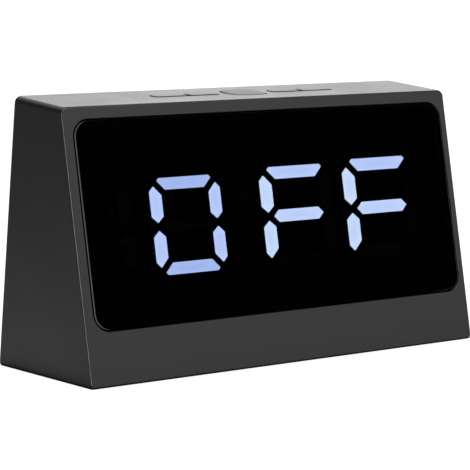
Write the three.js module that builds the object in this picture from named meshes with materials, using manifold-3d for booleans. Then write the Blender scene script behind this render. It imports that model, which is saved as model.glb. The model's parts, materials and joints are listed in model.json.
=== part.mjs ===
// Digital mirror alarm clock: a leaning moulded housing with a half-mirror front, seven-segment
// digits behind it and five keys on top. Millimetres, +Z up, the clock faces -Y, and the origin
// is on the table under its middle.
import * as THREE from 'three';
import Module from 'manifold-3d';
import { mergeVertices } from 'three/addons/utils/BufferGeometryUtils.js';

const wasm = await Module();
wasm.setup();

// Housing
const bodyWidth = 150;
const frontTopHeight = 81.3;
const topRise = 2.2;
const topDepth = 25.4;
const frontLean = 15.5;
const backLean = 11;
const wall = 2.4;
const frontWall = 4;
const topSideRadius = 2.2;
const frontTopRadius = 0.8;
const backTopRadius = 0.8;
const frontSideRadius = 0.6;
const backSideRadius = 0.8;
const floorRadius = 1;

// Clearances
const overrun = 1;
const clearance = 0.3;
const seatGap = 0.2;

// Window, mirror and tape
const windowSideMargin = 2.87;
const windowTopMargin = 3.7;
const windowBottomMargin = 16.25;
const windowRadius = 5.6;
const windowShift = 0.42;
const lensGap = 0.4;
const lensThickness = 2.1;
const lensProud = 0.3;
const lensChamfer = 0.3;
const tapeThickness = 0.3;
const ledgeWidth = 2.4;

// Display
const displaySideMargin = 16.8;
const displayTopMargin = 17.6;
const displayBottomMargin = 14.5;
const digitGap = 6.1;
const colonGap = 14.4;
const halfDigitGap = 6.25;
const uprightShare = 0.153;
const crossbarShare = 0.124;
const cornerShare = 0.125;
const mitreShare = 0.075;
const waistShare = 0.08;
const tipShare = 0.85;
const wellShare = 0.62;
const colonDotShare = 0.13;
const colonSpreadShare = 0.214;
const pottingGap = 0.15;
const pottingWeb = 0.6;
const blockMargin = 3.6;
const blockDepth = 7.2;
const blockRadius = 2;
const carrierThickness = 1.2;
const carrierOverlap = 1.3;
const carrierTabWidth = 9;
const carrierTabShare = 0.68;
const carrierScrewHeight = 11;
const postRadius = 2.5;
const postOffset = 3;
const lugWidth = 8;
const lugThickness = 1.6;
const lugDrop = 5.2;
const lugShare = 0.67;

// Boards and their parts
const boardThickness = 1.6;
const boardMargin = 2.7;
const ledLength = 3.2;
const ledWidth = 1.6;
const ledHeight = 0.7;
const chipLength = 12.8;
const chipWidth = 7.5;
const chipHeight = 2.2;
const chipLeads = 10;
const leadWidth = 0.45;
const leadReach = 1.4;
const leadThickness = 0.25;

// Keys
const keyProud = 0.25;
const keyTravel = 0.3;
const keyGap = 0.9;
const keyBridge = 3.5;
const keyRowShift = 1.5;
const keyRowHalfLength = 35.1;
const keyRowHalfDepth = 2.05;
const keyRowSplit = 22.1;
const keyCornerRadius = 1.4;
const keyEdge = 0.15;
const snoozeHalfWidth = 7;
const snoozeMargin = 7.4;
const snoozePower = 3.4;
const keyFlange = 1;
const keyFlangeReach = 1.2;
const keyStemRadius = 1.8;
const switchSide = 6;
const switchHeight = 3.4;
const plungerRadius = 1.7;
const plungerHeight = 1.4;
const keyBoardDrop = 12;
const keyBoardReach = 11.7;
const keyBoardHalfDepth = 6.2;
const keyPostInset = 3.3;

// Rear cover, batteries and door
const coverThickness = 2.6;
const coverRecess = 0.6;
const bossRadius = 3.8;
const bossLength = 13;
const bossLow = 9;
const bossDrop = 11.3;
const bossRoot = 0.5;
const cellDiameter = 10.5;
const cellLength = 44.5;
const cellGap = 0.8;
const cellCount = 3;
const nubRadius = 1.9;
const nubLength = 1;
const trayDrop = 28;
const trayWall = 1.2;
const trayRibShare = 0.2;
const contactSpace = 2.95;
const contactThickness = 0.4;
const contactWidth = 8.4;
const springBase = 3.4;
const springTip = 2.2;
const doorThickness = 1.6;
const doorLedge = 1.6;
const doorRadius = 2;
const tongueWidth = 13;
const tongueLength = 8;
const slitWidth = 0.8;
const gripRibs = 3;
const gripRib = 0.7;
const gripPitch = 1.9;
const doorRibWidth = 1.4;
const doorRibDepth = 0.35;

// Inlet and sounder on the rear cover
const inletInset = 25;
const inletHeight = 13;
const inletWidth = 8.94;
const inletTall = 3.26;
const inletLength = 7.3;
const inletShell = 0.35;
const inletTongueWidth = 6.7;
const inletTongueTall = 0.7;
const inletTongueLength = 4.4;
const inletGap = 0.6;
const inletSet = 0.3;
const powerBoardWidth = 24;
const powerBoardLength = 15;
const railWidth = 3;
const railHeight = 1.6;
const sounderInset = 27;
const sounderHeight = 17;
const sounderRadius = 6;
const sounderLength = 7.5;
const sounderPort = 1.2;
const collarWall = 1.1;
const collarLength = 4;
const soundHole = 1;
const soundPitch = 3.2;
const soundHoles = 6;

// Fasteners and feet
const coverScrew = { head: 2.6, headHeight: 1.3, shank: 1.3, length: 10 };
const boardScrew = { head: 1.9, headHeight: 1.1, shank: 0.9, length: 5.4 };
const carrierScrew = { head: 1.9, headHeight: 1.1, shank: 0.9, length: 3.4 };
const driveShare = 0.42;
const driveArmShare = 0.33;
const headEdgeShare = 0.17;
const footRadius = 4.5;
const footProud = 0.8;
const footSeat = 1;
const footInset = 10.5;
const footBevel = 0.25;

// Flat cables
const cableWidth = 9;
const cableThickness = 0.9;
const keyCableX = -26;
const powerCableShift = 4;

// Facet counts
const arcSteps = 4;
const roundSides = 20;
const smallSides = 12;
const snoozeSides = 40;

// Worked-out sizes
const halfWidth = bodyWidth / 2;
const bodyDepth = frontLean + topDepth + backLean;
const halfDepth = bodyDepth / 2;
const backTopHeight = frontTopHeight + topRise;
const floorLevel = footProud;
const frontAngle = Math.atan2(frontLean, frontTopHeight);
const backAngle = Math.atan2(backLean, backTopHeight);
const topAngle = Math.atan2(topRise, topDepth);
const frontSlant = Math.hypot(frontLean, frontTopHeight);
const backSlant = Math.hypot(backLean, backTopHeight);
const innerHalfWidth = halfWidth - wall;
const reach = bodyDepth + backTopHeight;
const lensBack = lensThickness - lensProud;
const tapeFront = lensBack + seatGap;
const ledgeFront = tapeFront + tapeThickness + seatGap;
const blockFront = lensBack + clearance;
const blockBack = blockFront + blockDepth;
const carrierFront = frontWall + clearance;
const carrierBack = carrierFront + carrierThickness;
const webFront = blockBack + seatGap;
const ledTop = webFront + pottingWeb + clearance;
const boardFront = ledTop + ledHeight;
const boardBack = boardFront + boardThickness;
const coverInner = -coverRecess - coverThickness;
const bossHigh = backSlant - bossDrop;
const inletX = inletInset - halfWidth;
const sounderX = halfWidth - sounderInset;
const keyRowCentre = topDepth / 2;
const snoozeHalfDepth = keyRowCentre - snoozeMargin;
const keyBoardHalfWidth = keyRowHalfLength + keyBoardReach;

// Worked-out display: three whole digits and a half digit share the width between the margins
const displayHalfWidth = halfWidth - displaySideMargin;
const digitHeight = frontSlant - windowTopMargin - windowBottomMargin - displayTopMargin
  - displayBottomMargin;
const displayHeight = windowBottomMargin + displayBottomMargin + digitHeight / 2;
const uprightWidth = digitHeight * uprightShare;
const crossbarWidth = digitHeight * crossbarShare;
const digitWidth = (2 * displayHalfWidth - uprightWidth - halfDigitGap - digitGap - colonGap) / 3;

// Local frames: x across, y through the wall and z up the slope, or z out of the top
const frontFrame = frameAt(-halfDepth, floorLevel, -frontAngle);
const topFrame = frameAt(-halfDepth + frontLean, floorLevel + frontTopHeight, topAngle);
const keyFrame = frameAt(-halfDepth + frontLean, floorLevel + frontTopHeight, topAngle, keyRowShift);
const backFrame = frameAt(halfDepth, floorLevel, backAngle);

function frameAt(y, z, angle, x = 0) {
  return new THREE.Matrix4().makeTranslation(x, y, z).multiply(new THREE.Matrix4().makeRotationX(angle));
}

// Solids
function toManifold(geometry) {
  const bare = geometry.clone();
  bare.deleteAttribute('normal');
  bare.deleteAttribute('uv');
  const merged = mergeVertices(bare);
  return new wasm.Manifold(new wasm.Mesh({
    numProp: 3,
    vertProperties: new Float32Array(merged.attributes.position.array),
    triVerts: new Uint32Array(merged.index.array),
  }));
}

function fromManifold(manifold) {
  const { vertProperties, triVerts } = manifold.getMesh();
  const geometry = new THREE.BufferGeometry();
  geometry.setAttribute('position', new THREE.BufferAttribute(new Float32Array(vertProperties), 3));
  geometry.setIndex(new THREE.BufferAttribute(new Uint32Array(triVerts), 1));
  geometry.computeVertexNormals();
  return geometry;
}

function joined(...geometries) {
  return fromManifold(geometries.map(toManifold).reduce((whole, next) => whole.add(next)));
}

function cut(geometry, ...cutters) {
  return fromManifold(cutters.map(toManifold)
    .reduce((whole, next) => whole.subtract(next), toManifold(geometry)));
}

function common(...geometries) {
  return fromManifold(geometries.map(toManifold).reduce((whole, next) => whole.intersect(next)));
}

function placed(geometry, matrix) {
  return geometry.clone().applyMatrix4(matrix);
}

function moved(geometry, x, y, z) {
  return geometry.clone().translate(x, y, z);
}

// Outlines, as lists of points that run anticlockwise
function point(x, y) {
  return new THREE.Vector2(x, y);
}

function roundOutline(points, radii, steps = arcSteps) {
  return points.flatMap((corner, i) => {
    const before = points[(i + points.length - 1) % points.length];
    const after = points[(i + 1) % points.length];
    const radius = Array.isArray(radii) ? radii[i] : radii;
    if (!radius) return [corner];
    const back = before.clone().sub(corner).normalize();
    const ahead = after.clone().sub(corner).normalize();
    const half = Math.acos(back.dot(ahead)) / 2;
    const centre = back.clone().add(ahead).normalize().multiplyScalar(radius / Math.sin(half)).add(corner);
    const start = back.multiplyScalar(radius / Math.tan(half)).add(corner).sub(centre);
    const sweep = Math.PI - 2 * half;
    return Array.from({ length: steps + 1 }, (_, k) => start.clone()
      .rotateAround(point(0, 0), sweep * k / steps).add(centre));
  });
}

function rectangle(left, right, low, high, radii = 0, steps = arcSteps) {
  const corners = [point(left, low), point(right, low), point(right, high), point(left, high)];
  return roundOutline(corners, radii, steps);
}

function offsetOutline(points, distance) {
  return points.map((corner, i) => {
    const before = points[(i + points.length - 1) % points.length];
    const after = points[(i + 1) % points.length];
    const normalIn = corner.clone().sub(before).normalize();
    const normalOut = after.clone().sub(corner).normalize();
    const first = point(normalIn.y, -normalIn.x);
    const second = point(normalOut.y, -normalOut.x);
    const between = first.clone().add(second).normalize();
    return between.multiplyScalar(distance / between.dot(first)).add(corner);
  });
}

function circle(x, y, radius, sides = roundSides) {
  return Array.from({ length: sides }, (_, k) => point(radius, 0)
    .rotateAround(point(0, 0), 2 * Math.PI * k / sides).add(point(x, y)));
}

// Extrusions: plate rises along z, slab runs along y and prism runs along x
function plate(outline, low, high, edge = 0) {
  const geometry = new THREE.ExtrudeGeometry(new THREE.Shape(outline), {
    depth: high - low - 2 * edge, bevelEnabled: edge > 0, bevelThickness: edge,
    bevelSize: edge, bevelOffset: -edge, bevelSegments: 1, curveSegments: 1,
  });
  return geometry.translate(0, 0, low + edge);
}

function slab(outline, near, far, edge = 0) {
  const turn = new THREE.Matrix4().makeBasis(
    new THREE.Vector3(1, 0, 0), new THREE.Vector3(0, 0, 1), new THREE.Vector3(0, -1, 0));
  return plate(outline, 0, far - near, edge).applyMatrix4(turn).translate(0, far, 0);
}

function prism(outline, left, right) {
  const turn = new THREE.Matrix4().makeBasis(
    new THREE.Vector3(0, 1, 0), new THREE.Vector3(0, 0, 1), new THREE.Vector3(1, 0, 0));
  return plate(outline, left, right).applyMatrix4(turn);
}

// A tapered plug between one outline and the same outline drawn in about its middle
function taper(outline, share, near, far) {
  const middle = outline.reduce((sum, p) => sum.add(p), point(0, 0)).divideScalar(outline.length);
  const drawnIn = outline.map((p) => p.clone().sub(middle).multiplyScalar(share).add(middle));
  const count = outline.length;
  const positions = [...outline.flatMap((p) => [p.x, near, p.y]), ...drawnIn.flatMap((p) => [p.x, far, p.y])];
  const index = [];
  for (let i = 0; i < count; i += 1) {
    const next = (i + 1) % count;
    index.push(i, count + i, count + next, i, count + next, next);
    if (i > 0 && i < count - 1) index.push(0, i, i + 1, count, count + i + 1, count + i);
  }
  const geometry = new THREE.BufferGeometry();
  geometry.setAttribute('position', new THREE.Float32BufferAttribute(positions, 3));
  geometry.setIndex(index);
  return geometry;
}

// Side section of the housing with each face moved inwards by its own amount
function section({ front = 0, back = 0, top = 0, floor = 0 }) {
  const frontFace = face(-halfDepth, 0, frontLean, frontTopHeight, 1, front);
  const backFace = face(halfDepth, 0, -backLean, backTopHeight, -1, back);
  const topFace = face(-halfDepth + frontLean, frontTopHeight, topDepth, topRise, 1, top);
  const floorFace = face(-halfDepth, 0, bodyDepth, 0, -1, floor);
  return [meet(floorFace, frontFace), meet(floorFace, backFace), meet(topFace, backFace),
    meet(topFace, frontFace)];
}

function face(y, z, runY, runZ, side, inset) {
  const along = point(runY, runZ).normalize();
  const inward = point(along.y, -along.x).multiplyScalar(side * inset);
  return { start: point(y, z).add(inward), along };
}

function meet(first, second) {
  const apart = second.start.clone().sub(first.start);
  const scale = apart.cross(second.along) / first.along.cross(second.along);
  return first.along.clone().multiplyScalar(scale).add(first.start).add(point(0, floorLevel));
}

// Housing shell: one moulding with the bezel, top, sides and floor, open at the back
function housingShell() {
  const cavity = prism(section({ front: frontWall, back: -overrun, top: wall, floor: wall }),
    -innerHalfWidth, innerHalfWidth);
  const inside = common(joined(...coverBosses(), ...keyBoardPosts(), ...carrierLugs()), roundedBody());
  const hollow = joined(cut(roundedBody(), cavity), inside);
  return cut(hollow, placed(slab(windowOutline(0), -overrun, ledgeFront), frontFrame),
    placed(slab(ledgeOutline(0), -overrun, frontWall + overrun), frontFrame),
    placed(keyOpenings(), keyFrame), ...coverPilots(), ...keyBoardPilots(), ...carrierPilots(),
    ...feetPlaces().map(([x, y]) => moved(plate(circle(0, 0, footRadius + clearance), -overrun, footSeat),
      x, y, floorLevel)));
}

function roundedBody() {
  const sides = prism(roundOutline(section({}), [floorRadius, floorRadius, backTopRadius, frontTopRadius]),
    -halfWidth, halfWidth);
  const frontTrim = plate(rectangle(-halfWidth, halfWidth, 0, reach,
    [frontSideRadius, frontSideRadius, 0, 0]), -reach, reach);
  const backTrim = plate(rectangle(-halfWidth, halfWidth, -reach, 0, [0, 0, backSideRadius, backSideRadius]),
    -reach, reach);
  const topTrim = slab(rectangle(-halfWidth, halfWidth, -reach, 0, [0, 0, topSideRadius, topSideRadius]),
    -reach, reach);
  const floorTrim = slab(rectangle(-halfWidth, halfWidth, floorLevel, reach,
    [floorRadius, floorRadius, 0, 0]), -reach, reach);
  return common(sides, placed(frontTrim, frontFrame), placed(backTrim, backFrame),
    placed(topTrim, topFrame), floorTrim);
}

function windowOutline(inset) {
  const half = halfWidth - windowSideMargin - inset;
  return rectangle(windowShift - half, windowShift + half, windowBottomMargin + inset,
    frontSlant - windowTopMargin - inset, windowRadius - inset);
}

function ledgeOutline(inset) {
  return windowOutline(ledgeWidth + inset);
}

function bossPlaces() {
  const x = innerHalfWidth - bossRadius + bossRoot;
  return [[-x, bossLow], [x, bossLow], [-x, bossHigh], [x, bossHigh]];
}

function coverBosses() {
  return bossPlaces().map(([x, z]) => placed(slab(circle(x, z, bossRadius),
    coverInner - seatGap - bossLength, coverInner - seatGap), backFrame));
}

function coverPilots() {
  return bossPlaces().map(([x, z]) => placed(slab(circle(x, z, coverScrew.shank + clearance, smallSides),
    coverInner - coverScrew.length - overrun, coverInner + overrun), backFrame));
}

function keyBoardPostPlaces() {
  return [-1, 1].map((side) => [side * (keyBoardHalfWidth - keyPostInset), keyRowCentre]);
}

function keyBoardPosts() {
  return keyBoardPostPlaces().map(([x, y]) => placed(plate(circle(x, y, postRadius),
    -keyBoardDrop + seatGap, -wall / 2), keyFrame));
}

function keyBoardPilots() {
  return keyBoardPostPlaces().map(([x, y]) => placed(plate(
    circle(x, y, boardScrew.shank + clearance, smallSides), -keyBoardDrop - overrun,
    -keyBoardDrop + boardScrew.length), keyFrame));
}

function carrierLugs() {
  const top = frontSlant;
  return [-1, 1].map((side) => {
    const x = side * halfWidth * lugShare;
    const outline = rectangle(x - lugWidth / 2, x + lugWidth / 2, top - wall - lugDrop, top);
    return placed(slab(outline, carrierBack + seatGap, carrierBack + seatGap + lugThickness), frontFrame);
  });
}

function carrierScrewPlaces() {
  return [-1, 1].map((side) => [side * halfWidth * carrierTabShare, carrierScrewHeight]);
}

function carrierPilots() {
  return carrierScrewPlaces().map(([x, z]) => placed(slab(
    circle(x, z, carrierScrew.shank + clearance, smallSides),
    carrierBack - carrierScrew.length - clearance, frontWall + overrun), frontFrame));
}

function feetPlaces() {
  const x = halfWidth - footInset;
  const y = halfDepth - footInset;
  return [[-x, -y], [x, -y], [-x, y], [x, y]];
}

function foot() {
  return plate(circle(0, 0, footRadius), 0, footProud + footSeat - seatGap, footBevel);
}

// Mirror and the adhesive frame that holds it on its ledge
function mirrorLens() {
  return slab(windowOutline(lensGap), -lensProud, lensBack, lensChamfer);
}

function lensTape() {
  return cut(slab(windowOutline(lensGap + clearance), tapeFront, tapeFront + tapeThickness),
    slab(ledgeOutline(0), tapeFront - overrun, tapeFront + overrun));
}

// Seven-segment digits. Outlines are worked out from one upright and one crossbar
function segmentOutlines() {
  const across = digitWidth / 2;
  const up = digitHeight / 2;
  const slip = uprightWidth - crossbarWidth;
  const half = digitHeight * mitreShare / Math.SQRT2;
  const digitCorner = digitHeight * cornerShare;
  const tipA = (digitCorner - slip - half) / 2;
  const tipF = (digitCorner + slip - half) / 2;
  const roof = [point(-across + digitCorner - tipA, up - tipA), point(-across + uprightWidth + half,
    up - crossbarWidth), point(across - uprightWidth - half, up - crossbarWidth),
  point(across - digitCorner + tipA, up - tipA), point(across - digitCorner, up),
  point(-across + digitCorner, up)];
  const waist = digitHeight * waistShare / 2;
  const slope = tipShare * uprightWidth / 2;
  const upright = [point(-across, waist + slope), point(-across + uprightWidth / 2, waist),
    point(-across + uprightWidth, waist + slope), point(-across + uprightWidth, up - crossbarWidth - half),
    point(-across + tipF, up - digitCorner + tipF), point(-across, up - digitCorner)];
  const thick = crossbarWidth / 2;
  const tip = across - crossbarWidth - waist / 2;
  const bar = [point(-tip, 0), point(-tip + thick, -thick), point(tip - thick, -thick), point(tip, 0),
    point(tip - thick, thick), point(-tip + thick, thick)];
  const flip = (outline, x, y) => {
    const flipped = outline.map((p) => point(p.x * x, p.y * y));
    return x * y < 0 ? flipped.reverse() : flipped;
  };
  return { a: roof, b: flip(upright, -1, 1), c: flip(upright, -1, -1), d: flip(roof, 1, -1),
    e: flip(upright, 1, -1), f: upright, g: bar };
}

function digitPlaces() {
  const units = displayHalfWidth - digitWidth / 2;
  const tens = units - digitWidth - digitGap;
  const hours = tens - digitWidth - colonGap;
  const one = -displayHalfWidth + uprightWidth - digitWidth / 2;
  return { hours, minute_tens: tens, minute_units: units, one };
}

function allSegments() {
  const outlines = segmentOutlines();
  const places = digitPlaces();
  const shifted = (outline, x) => outline.map((p) => p.clone().add(point(x, displayHeight)));
  const whole = (x) => Object.values(outlines).map((outline) => shifted(outline, x));
  return {
    half_digit: [shifted(outlines.b, places.one), shifted(outlines.c, places.one)],
    hour_digit: whole(places.hours),
    minute_tens_digit: whole(places.minute_tens),
    minute_units_digit: whole(places.minute_units),
    colon: [-1, 1].map((side) => circle((places.hours + places.minute_tens) / 2,
      displayHeight + side * digitHeight * colonSpreadShare, digitHeight * colonDotShare / 2,
      smallSides)),
  };
}

// Light guide of one digit: tapered segments that stand on a thin web behind the wells
function lightGuide(outlines) {
  const xs = outlines.flat().map((p) => p.x);
  const zs = outlines.flat().map((p) => p.y);
  const web = slab(rectangle(Math.min(...xs), Math.max(...xs), Math.min(...zs), Math.max(...zs),
    crossbarWidth / 2), webFront, webFront + pottingWeb);
  return joined(web, ...outlines.map((outline) => taper(outline, wellShare, blockFront + seatGap,
    webFront + pottingWeb / 2)));
}

// Display carrier: a black plate behind the ledge with a block of flared wells, four posts for
// the display board and two screw tabs
function displayCarrier() {
  const frame = slab(ledgeOutline(-carrierOverlap), carrierFront, carrierBack);
  const blockHalf = displayHalfWidth + blockMargin;
  const blockHigh = digitHeight / 2 + blockMargin;
  const block = slab(rectangle(-blockHalf, blockHalf, displayHeight - blockHigh, displayHeight + blockHigh,
    blockRadius), blockFront, blockBack);
  const tabs = carrierScrewPlaces().map(([x, z]) => slab(rectangle(x - carrierTabWidth / 2,
    x + carrierTabWidth / 2, z - carrierTabWidth / 2, windowBottomMargin + ledgeWidth,
    [carrierTabWidth / 2 - seatGap, carrierTabWidth / 2 - seatGap, 0, 0]), carrierFront, carrierBack));
  const posts = displayScrewPlaces().map(([x, z]) => slab(circle(x, z, postRadius),
    carrierFront, boardFront - seatGap));
  const wells = Object.values(allSegments()).flat().map((outline) => well(outline));
  const tabHoles = carrierScrewPlaces().map(([x, z]) => slab(circle(x, z, carrierScrew.shank + clearance,
    smallSides), carrierFront - overrun, carrierBack + overrun));
  const pilots = displayScrewPlaces().map(([x, z]) => slab(circle(x, z, boardScrew.shank + clearance,
    smallSides), boardBack - boardScrew.length - clearance, boardFront));
  return cut(joined(frame, block, ...tabs, ...posts), ...wells, ...tabHoles, ...pilots);
}

function well(outline) {
  const wide = offsetOutline(outline, pottingGap);
  const full = webFront + pottingWeb / 2 - blockFront - seatGap;
  const shareAt = (y) => 1 - (1 - wellShare) * (y - blockFront - seatGap) / full;
  const near = blockFront - overrun;
  const far = blockBack + overrun;
  const middle = wide.reduce((sum, p) => sum.add(p), point(0, 0)).divideScalar(wide.length);
  const opened = wide.map((p) => p.clone().sub(middle).multiplyScalar(shareAt(near)).add(middle));
  return taper(opened, shareAt(far) / shareAt(near), near, far);
}

function displayScrewPlaces() {
  const x = displayHalfWidth - postOffset;
  const high = digitHeight / 2 + blockMargin + postRadius + seatGap;
  return [[-x, displayHeight - high], [x, displayHeight - high], [-x, displayHeight + high],
    [x, displayHeight + high]];
}

// Display board with a light-emitting chip in front of it for each well
function displayBoard() {
  const half = displayHalfWidth + blockMargin;
  const high = digitHeight / 2 + blockMargin + 2 * postRadius + boardMargin / 2;
  const board = slab(rectangle(-half, half, displayHeight - high, displayHeight + high, blockRadius),
    boardFront, boardBack);
  const lights = Object.values(allSegments()).flat().map((outline) => {
    const middle = outline.reduce((sum, p) => sum.add(p), point(0, 0)).divideScalar(outline.length);
    return slab(rectangle(middle.x - ledLength / 2, middle.x + ledLength / 2, middle.y - ledWidth / 2,
      middle.y + ledWidth / 2), ledTop, boardFront + boardThickness / 2);
  });
  const holes = displayScrewPlaces().map(([x, z]) => slab(circle(x, z, boardScrew.shank + clearance,
    smallSides), boardFront - overrun, boardBack + overrun));
  return cut(joined(board, ...lights), ...holes);
}

// Clock chip with two rows of bent leads
function clockChip() {
  const body = slab(rectangle(-chipLength / 2, chipLength / 2, -chipWidth / 2, chipWidth / 2),
    leadThickness, chipHeight, leadThickness);
  const pitch = chipLength / chipLeads;
  const edge = chipWidth / 2;
  const knee = edge + leadReach / 2;
  const toe = edge + leadReach;
  const middle = chipHeight / 2;
  const lead = [point(0, knee - leadThickness), point(0, toe), point(leadThickness, toe),
    point(leadThickness, knee), point(middle, knee), point(middle, edge - leadReach / 2),
    point(middle - leadThickness, edge - leadReach / 2), point(middle - leadThickness, knee - leadThickness)];
  const leads = Array.from({ length: chipLeads }, (_, k) => {
    const x = (k + 1 / 2) * pitch - chipLength / 2;
    const far = prism(lead.slice().reverse(), x - leadWidth / 2, x + leadWidth / 2);
    return [far, prism(lead.map((p) => point(p.x, -p.y)), x - leadWidth / 2, x + leadWidth / 2)];
  }).flat();
  return joined(body, ...leads);
}

// Keys: a cap that stands just proud of the top, a flange under the wall and a stem
function keyOutlines() {
  const low = keyRowCentre - keyRowHalfDepth;
  const high = keyRowCentre + keyRowHalfDepth;
  const outer = rectangle(keyRowSplit + keyGap / 2, keyRowHalfLength, low, high, keyCornerRadius);
  const inner = rectangle(snoozeHalfWidth + keyBridge, keyRowSplit - keyGap / 2, low, high,
    keyCornerRadius);
  const mirrored = (outline) => outline.map((p) => point(-p.x, p.y)).reverse();
  return { left_outer_key: mirrored(outer), left_inner_key: mirrored(inner), snooze_key: snoozeOutline(0),
    right_inner_key: inner, right_outer_key: outer };
}

function snoozeOutline(grow) {
  const bend = (value) => Math.sign(value) * Math.abs(value) ** (2 / snoozePower);
  return Array.from({ length: snoozeSides }, (_, k) => {
    const turn = 2 * Math.PI * k / snoozeSides;
    return point((snoozeHalfWidth + grow) * bend(Math.cos(turn)),
      keyRowCentre + (snoozeHalfDepth + grow) * bend(Math.sin(turn)));
  });
}

// One opening for each pair of keys and one for the snooze key between them
function keyOpenings() {
  const near = snoozeHalfWidth + keyBridge - clearance;
  const far = keyRowHalfLength + clearance;
  const through = (outline) => plate(outline, -wall - overrun, overrun);
  const pair = (left, right) => through(rectangle(left, right, keyRowCentre - keyRowHalfDepth - clearance,
    keyRowCentre + keyRowHalfDepth + clearance, keyCornerRadius + clearance));
  return joined(pair(-far, -near), through(snoozeOutline(clearance)), pair(near, far));
}

function key(name) {
  const outline = keyOutlines()[name];
  const flangeTop = -wall - clearance;
  const flangeLow = flangeTop - keyFlange;
  const cap = plate(outline, flangeLow, keyProud, keyEdge);
  const [left, right] = keySpan(name);
  const halfDepthHere = name === 'snooze_key' ? snoozeHalfDepth : keyRowHalfDepth;
  const flange = plate(rectangle(left, right, keyRowCentre - halfDepthHere - keyFlangeReach,
    keyRowCentre + halfDepthHere + keyFlangeReach), flangeLow, flangeTop);
  const stem = plate(circle(keyMiddle(name), keyRowCentre, keyStemRadius, smallSides),
    plungerTop() + keyTravel + seatGap, flangeTop);
  return joined(cap, flange, stem);
}

function keySpan(name) {
  const spans = {
    snooze_key: [-snoozeHalfWidth, snoozeHalfWidth],
    right_inner_key: [snoozeHalfWidth + keyBridge, keyRowSplit - keyGap / 2],
    right_outer_key: [keyRowSplit + keyGap / 2, keyRowHalfLength],
  };
  if (name in spans) return spans[name];
  const [left, right] = spans[name.replace('left', 'right')];
  return [-right, -left];
}

function keyMiddle(name) {
  const [left, right] = keySpan(name);
  return (left + right) / 2;
}

function plungerTop() {
  return -keyBoardDrop + seatGap + switchHeight + plungerHeight;
}

function keySwitch() {
  const half = switchSide / 2;
  const base = plate(rectangle(-half, half, -half, half), 0, switchHeight, keyEdge);
  return joined(base, plate(circle(0, 0, plungerRadius, smallSides), switchHeight / 2,
    switchHeight + plungerHeight));
}

function keyBoard() {
  const board = plate(rectangle(-keyBoardHalfWidth, keyBoardHalfWidth, keyRowCentre - keyBoardHalfDepth,
    keyRowCentre + keyBoardHalfDepth, keyCornerRadius), -keyBoardDrop - boardThickness, -keyBoardDrop);
  return cut(board, ...keyBoardPostPlaces().map(([x, y]) => plate(circle(x, y,
    boardScrew.shank + clearance, smallSides), -keyBoardDrop - boardThickness - overrun,
  -keyBoardDrop + overrun)));
}

// Battery space in the rear cover, measured in the cover's frame
const trayHalfWidth = cellLength / 2 + contactSpace;
const cellPitch = cellDiameter + cellGap;
const trayHalfHeight = (cellCount - 1) / 2 * cellPitch + cellDiameter / 2 + clearance;
const trayHeight = backSlant - trayDrop - trayHalfHeight;
const cellCentre = -coverRecess - doorThickness - doorRibDepth - clearance - cellDiameter / 2;
const trayFloor = cellCentre - cellDiameter / 2 - clearance;
const doorInner = -coverRecess - doorThickness - seatGap;
const powerBoardTop = inletHeight - inletTall / 2 - seatGap;

function trayOutline(grow, radius = 0) {
  return rectangle(-trayHalfWidth - grow, trayHalfWidth + grow, trayHeight - trayHalfHeight - grow,
    trayHeight + trayHalfHeight + grow, radius);
}

function cellHeight(index) {
  return trayHeight + (index - (cellCount - 1) / 2) * cellPitch;
}

// Rear cover: a panel that drops into the back of the shell, with the battery tray, the board
// rails and the sounder collar moulded on its inside
function rearCover() {
  const inPlace = (geometry) => placed(geometry, backFrame);
  const fit = prism(section({ back: -overrun, top: wall + clearance, floor: wall + clearance }),
    -innerHalfWidth + clearance, innerHalfWidth - clearance);
  const panel = common(inPlace(slab(rectangle(-reach, reach, -reach, reach), coverInner, -coverRecess)), fit);
  const root = coverInner + coverThickness / 2;
  const tray = slab(trayOutline(trayWall), trayFloor - trayWall, root);
  const collar = slab(circle(sounderX, sounderHeight, sounderRadius + clearance + collarWall),
    coverInner - collarLength, root);
  const rails = [-1, 1].map((side) => {
    const x = inletX + side * (powerBoardWidth - railWidth) / 2;
    const top = powerBoardTop - boardThickness - seatGap;
    return slab(rectangle(x - railWidth / 2, x + railWidth / 2, top - railHeight, top),
      coverInner - powerBoardLength, root);
  });
  const screwHoles = bossPlaces().flatMap(([x, z]) => [
    slab(circle(x, z, coverScrew.shank + clearance, smallSides), coverInner - overrun, overrun),
    slab(circle(x, z, coverScrew.head + clearance),
      -coverRecess - coverScrew.headHeight - clearance, overrun)]);
  const ribs = Array.from({ length: cellCount - 1 }, (_, k) => {
    const z = (cellHeight(k) + cellHeight(k + 1)) / 2;
    return slab(rectangle(-cellLength / 2, cellLength / 2, z - trayWall / 2,
      z + trayWall / 2), trayFloor - trayWall / 2, trayFloor + cellDiameter * trayRibShare);
  });
  const hollow = cut(joined(panel, ...[tray, collar, ...rails].map(inPlace)),
    ...[slab(trayOutline(0), trayFloor, overrun),
      slab(trayOutline(doorLedge, doorRadius), doorInner, overrun),
      slab(circle(sounderX, sounderHeight, sounderRadius + clearance),
        coverInner - collarLength - overrun, coverInner),
      ...screwHoles, ...soundHoleCutters(), inletCutter()].map(inPlace));
  return joined(hollow, ...ribs.map(inPlace));
}

function soundHoleCutters() {
  const ring = Array.from({ length: soundHoles }, (_, k) => point(soundPitch, 0)
    .rotateAround(point(0, 0), 2 * Math.PI * k / soundHoles));
  return [point(0, 0), ...ring].map((p) => slab(circle(sounderX + p.x, sounderHeight + p.y, soundHole,
    smallSides), coverInner - overrun, overrun));
}

function inletCutter() {
  const wide = inletWidth / 2 + inletGap;
  const tall = inletTall / 2 + inletGap;
  return slab(rectangle(inletX - wide, inletX + wide, inletHeight - tall, inletHeight + tall,
    tall - seatGap), coverInner - overrun, overrun);
}

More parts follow.
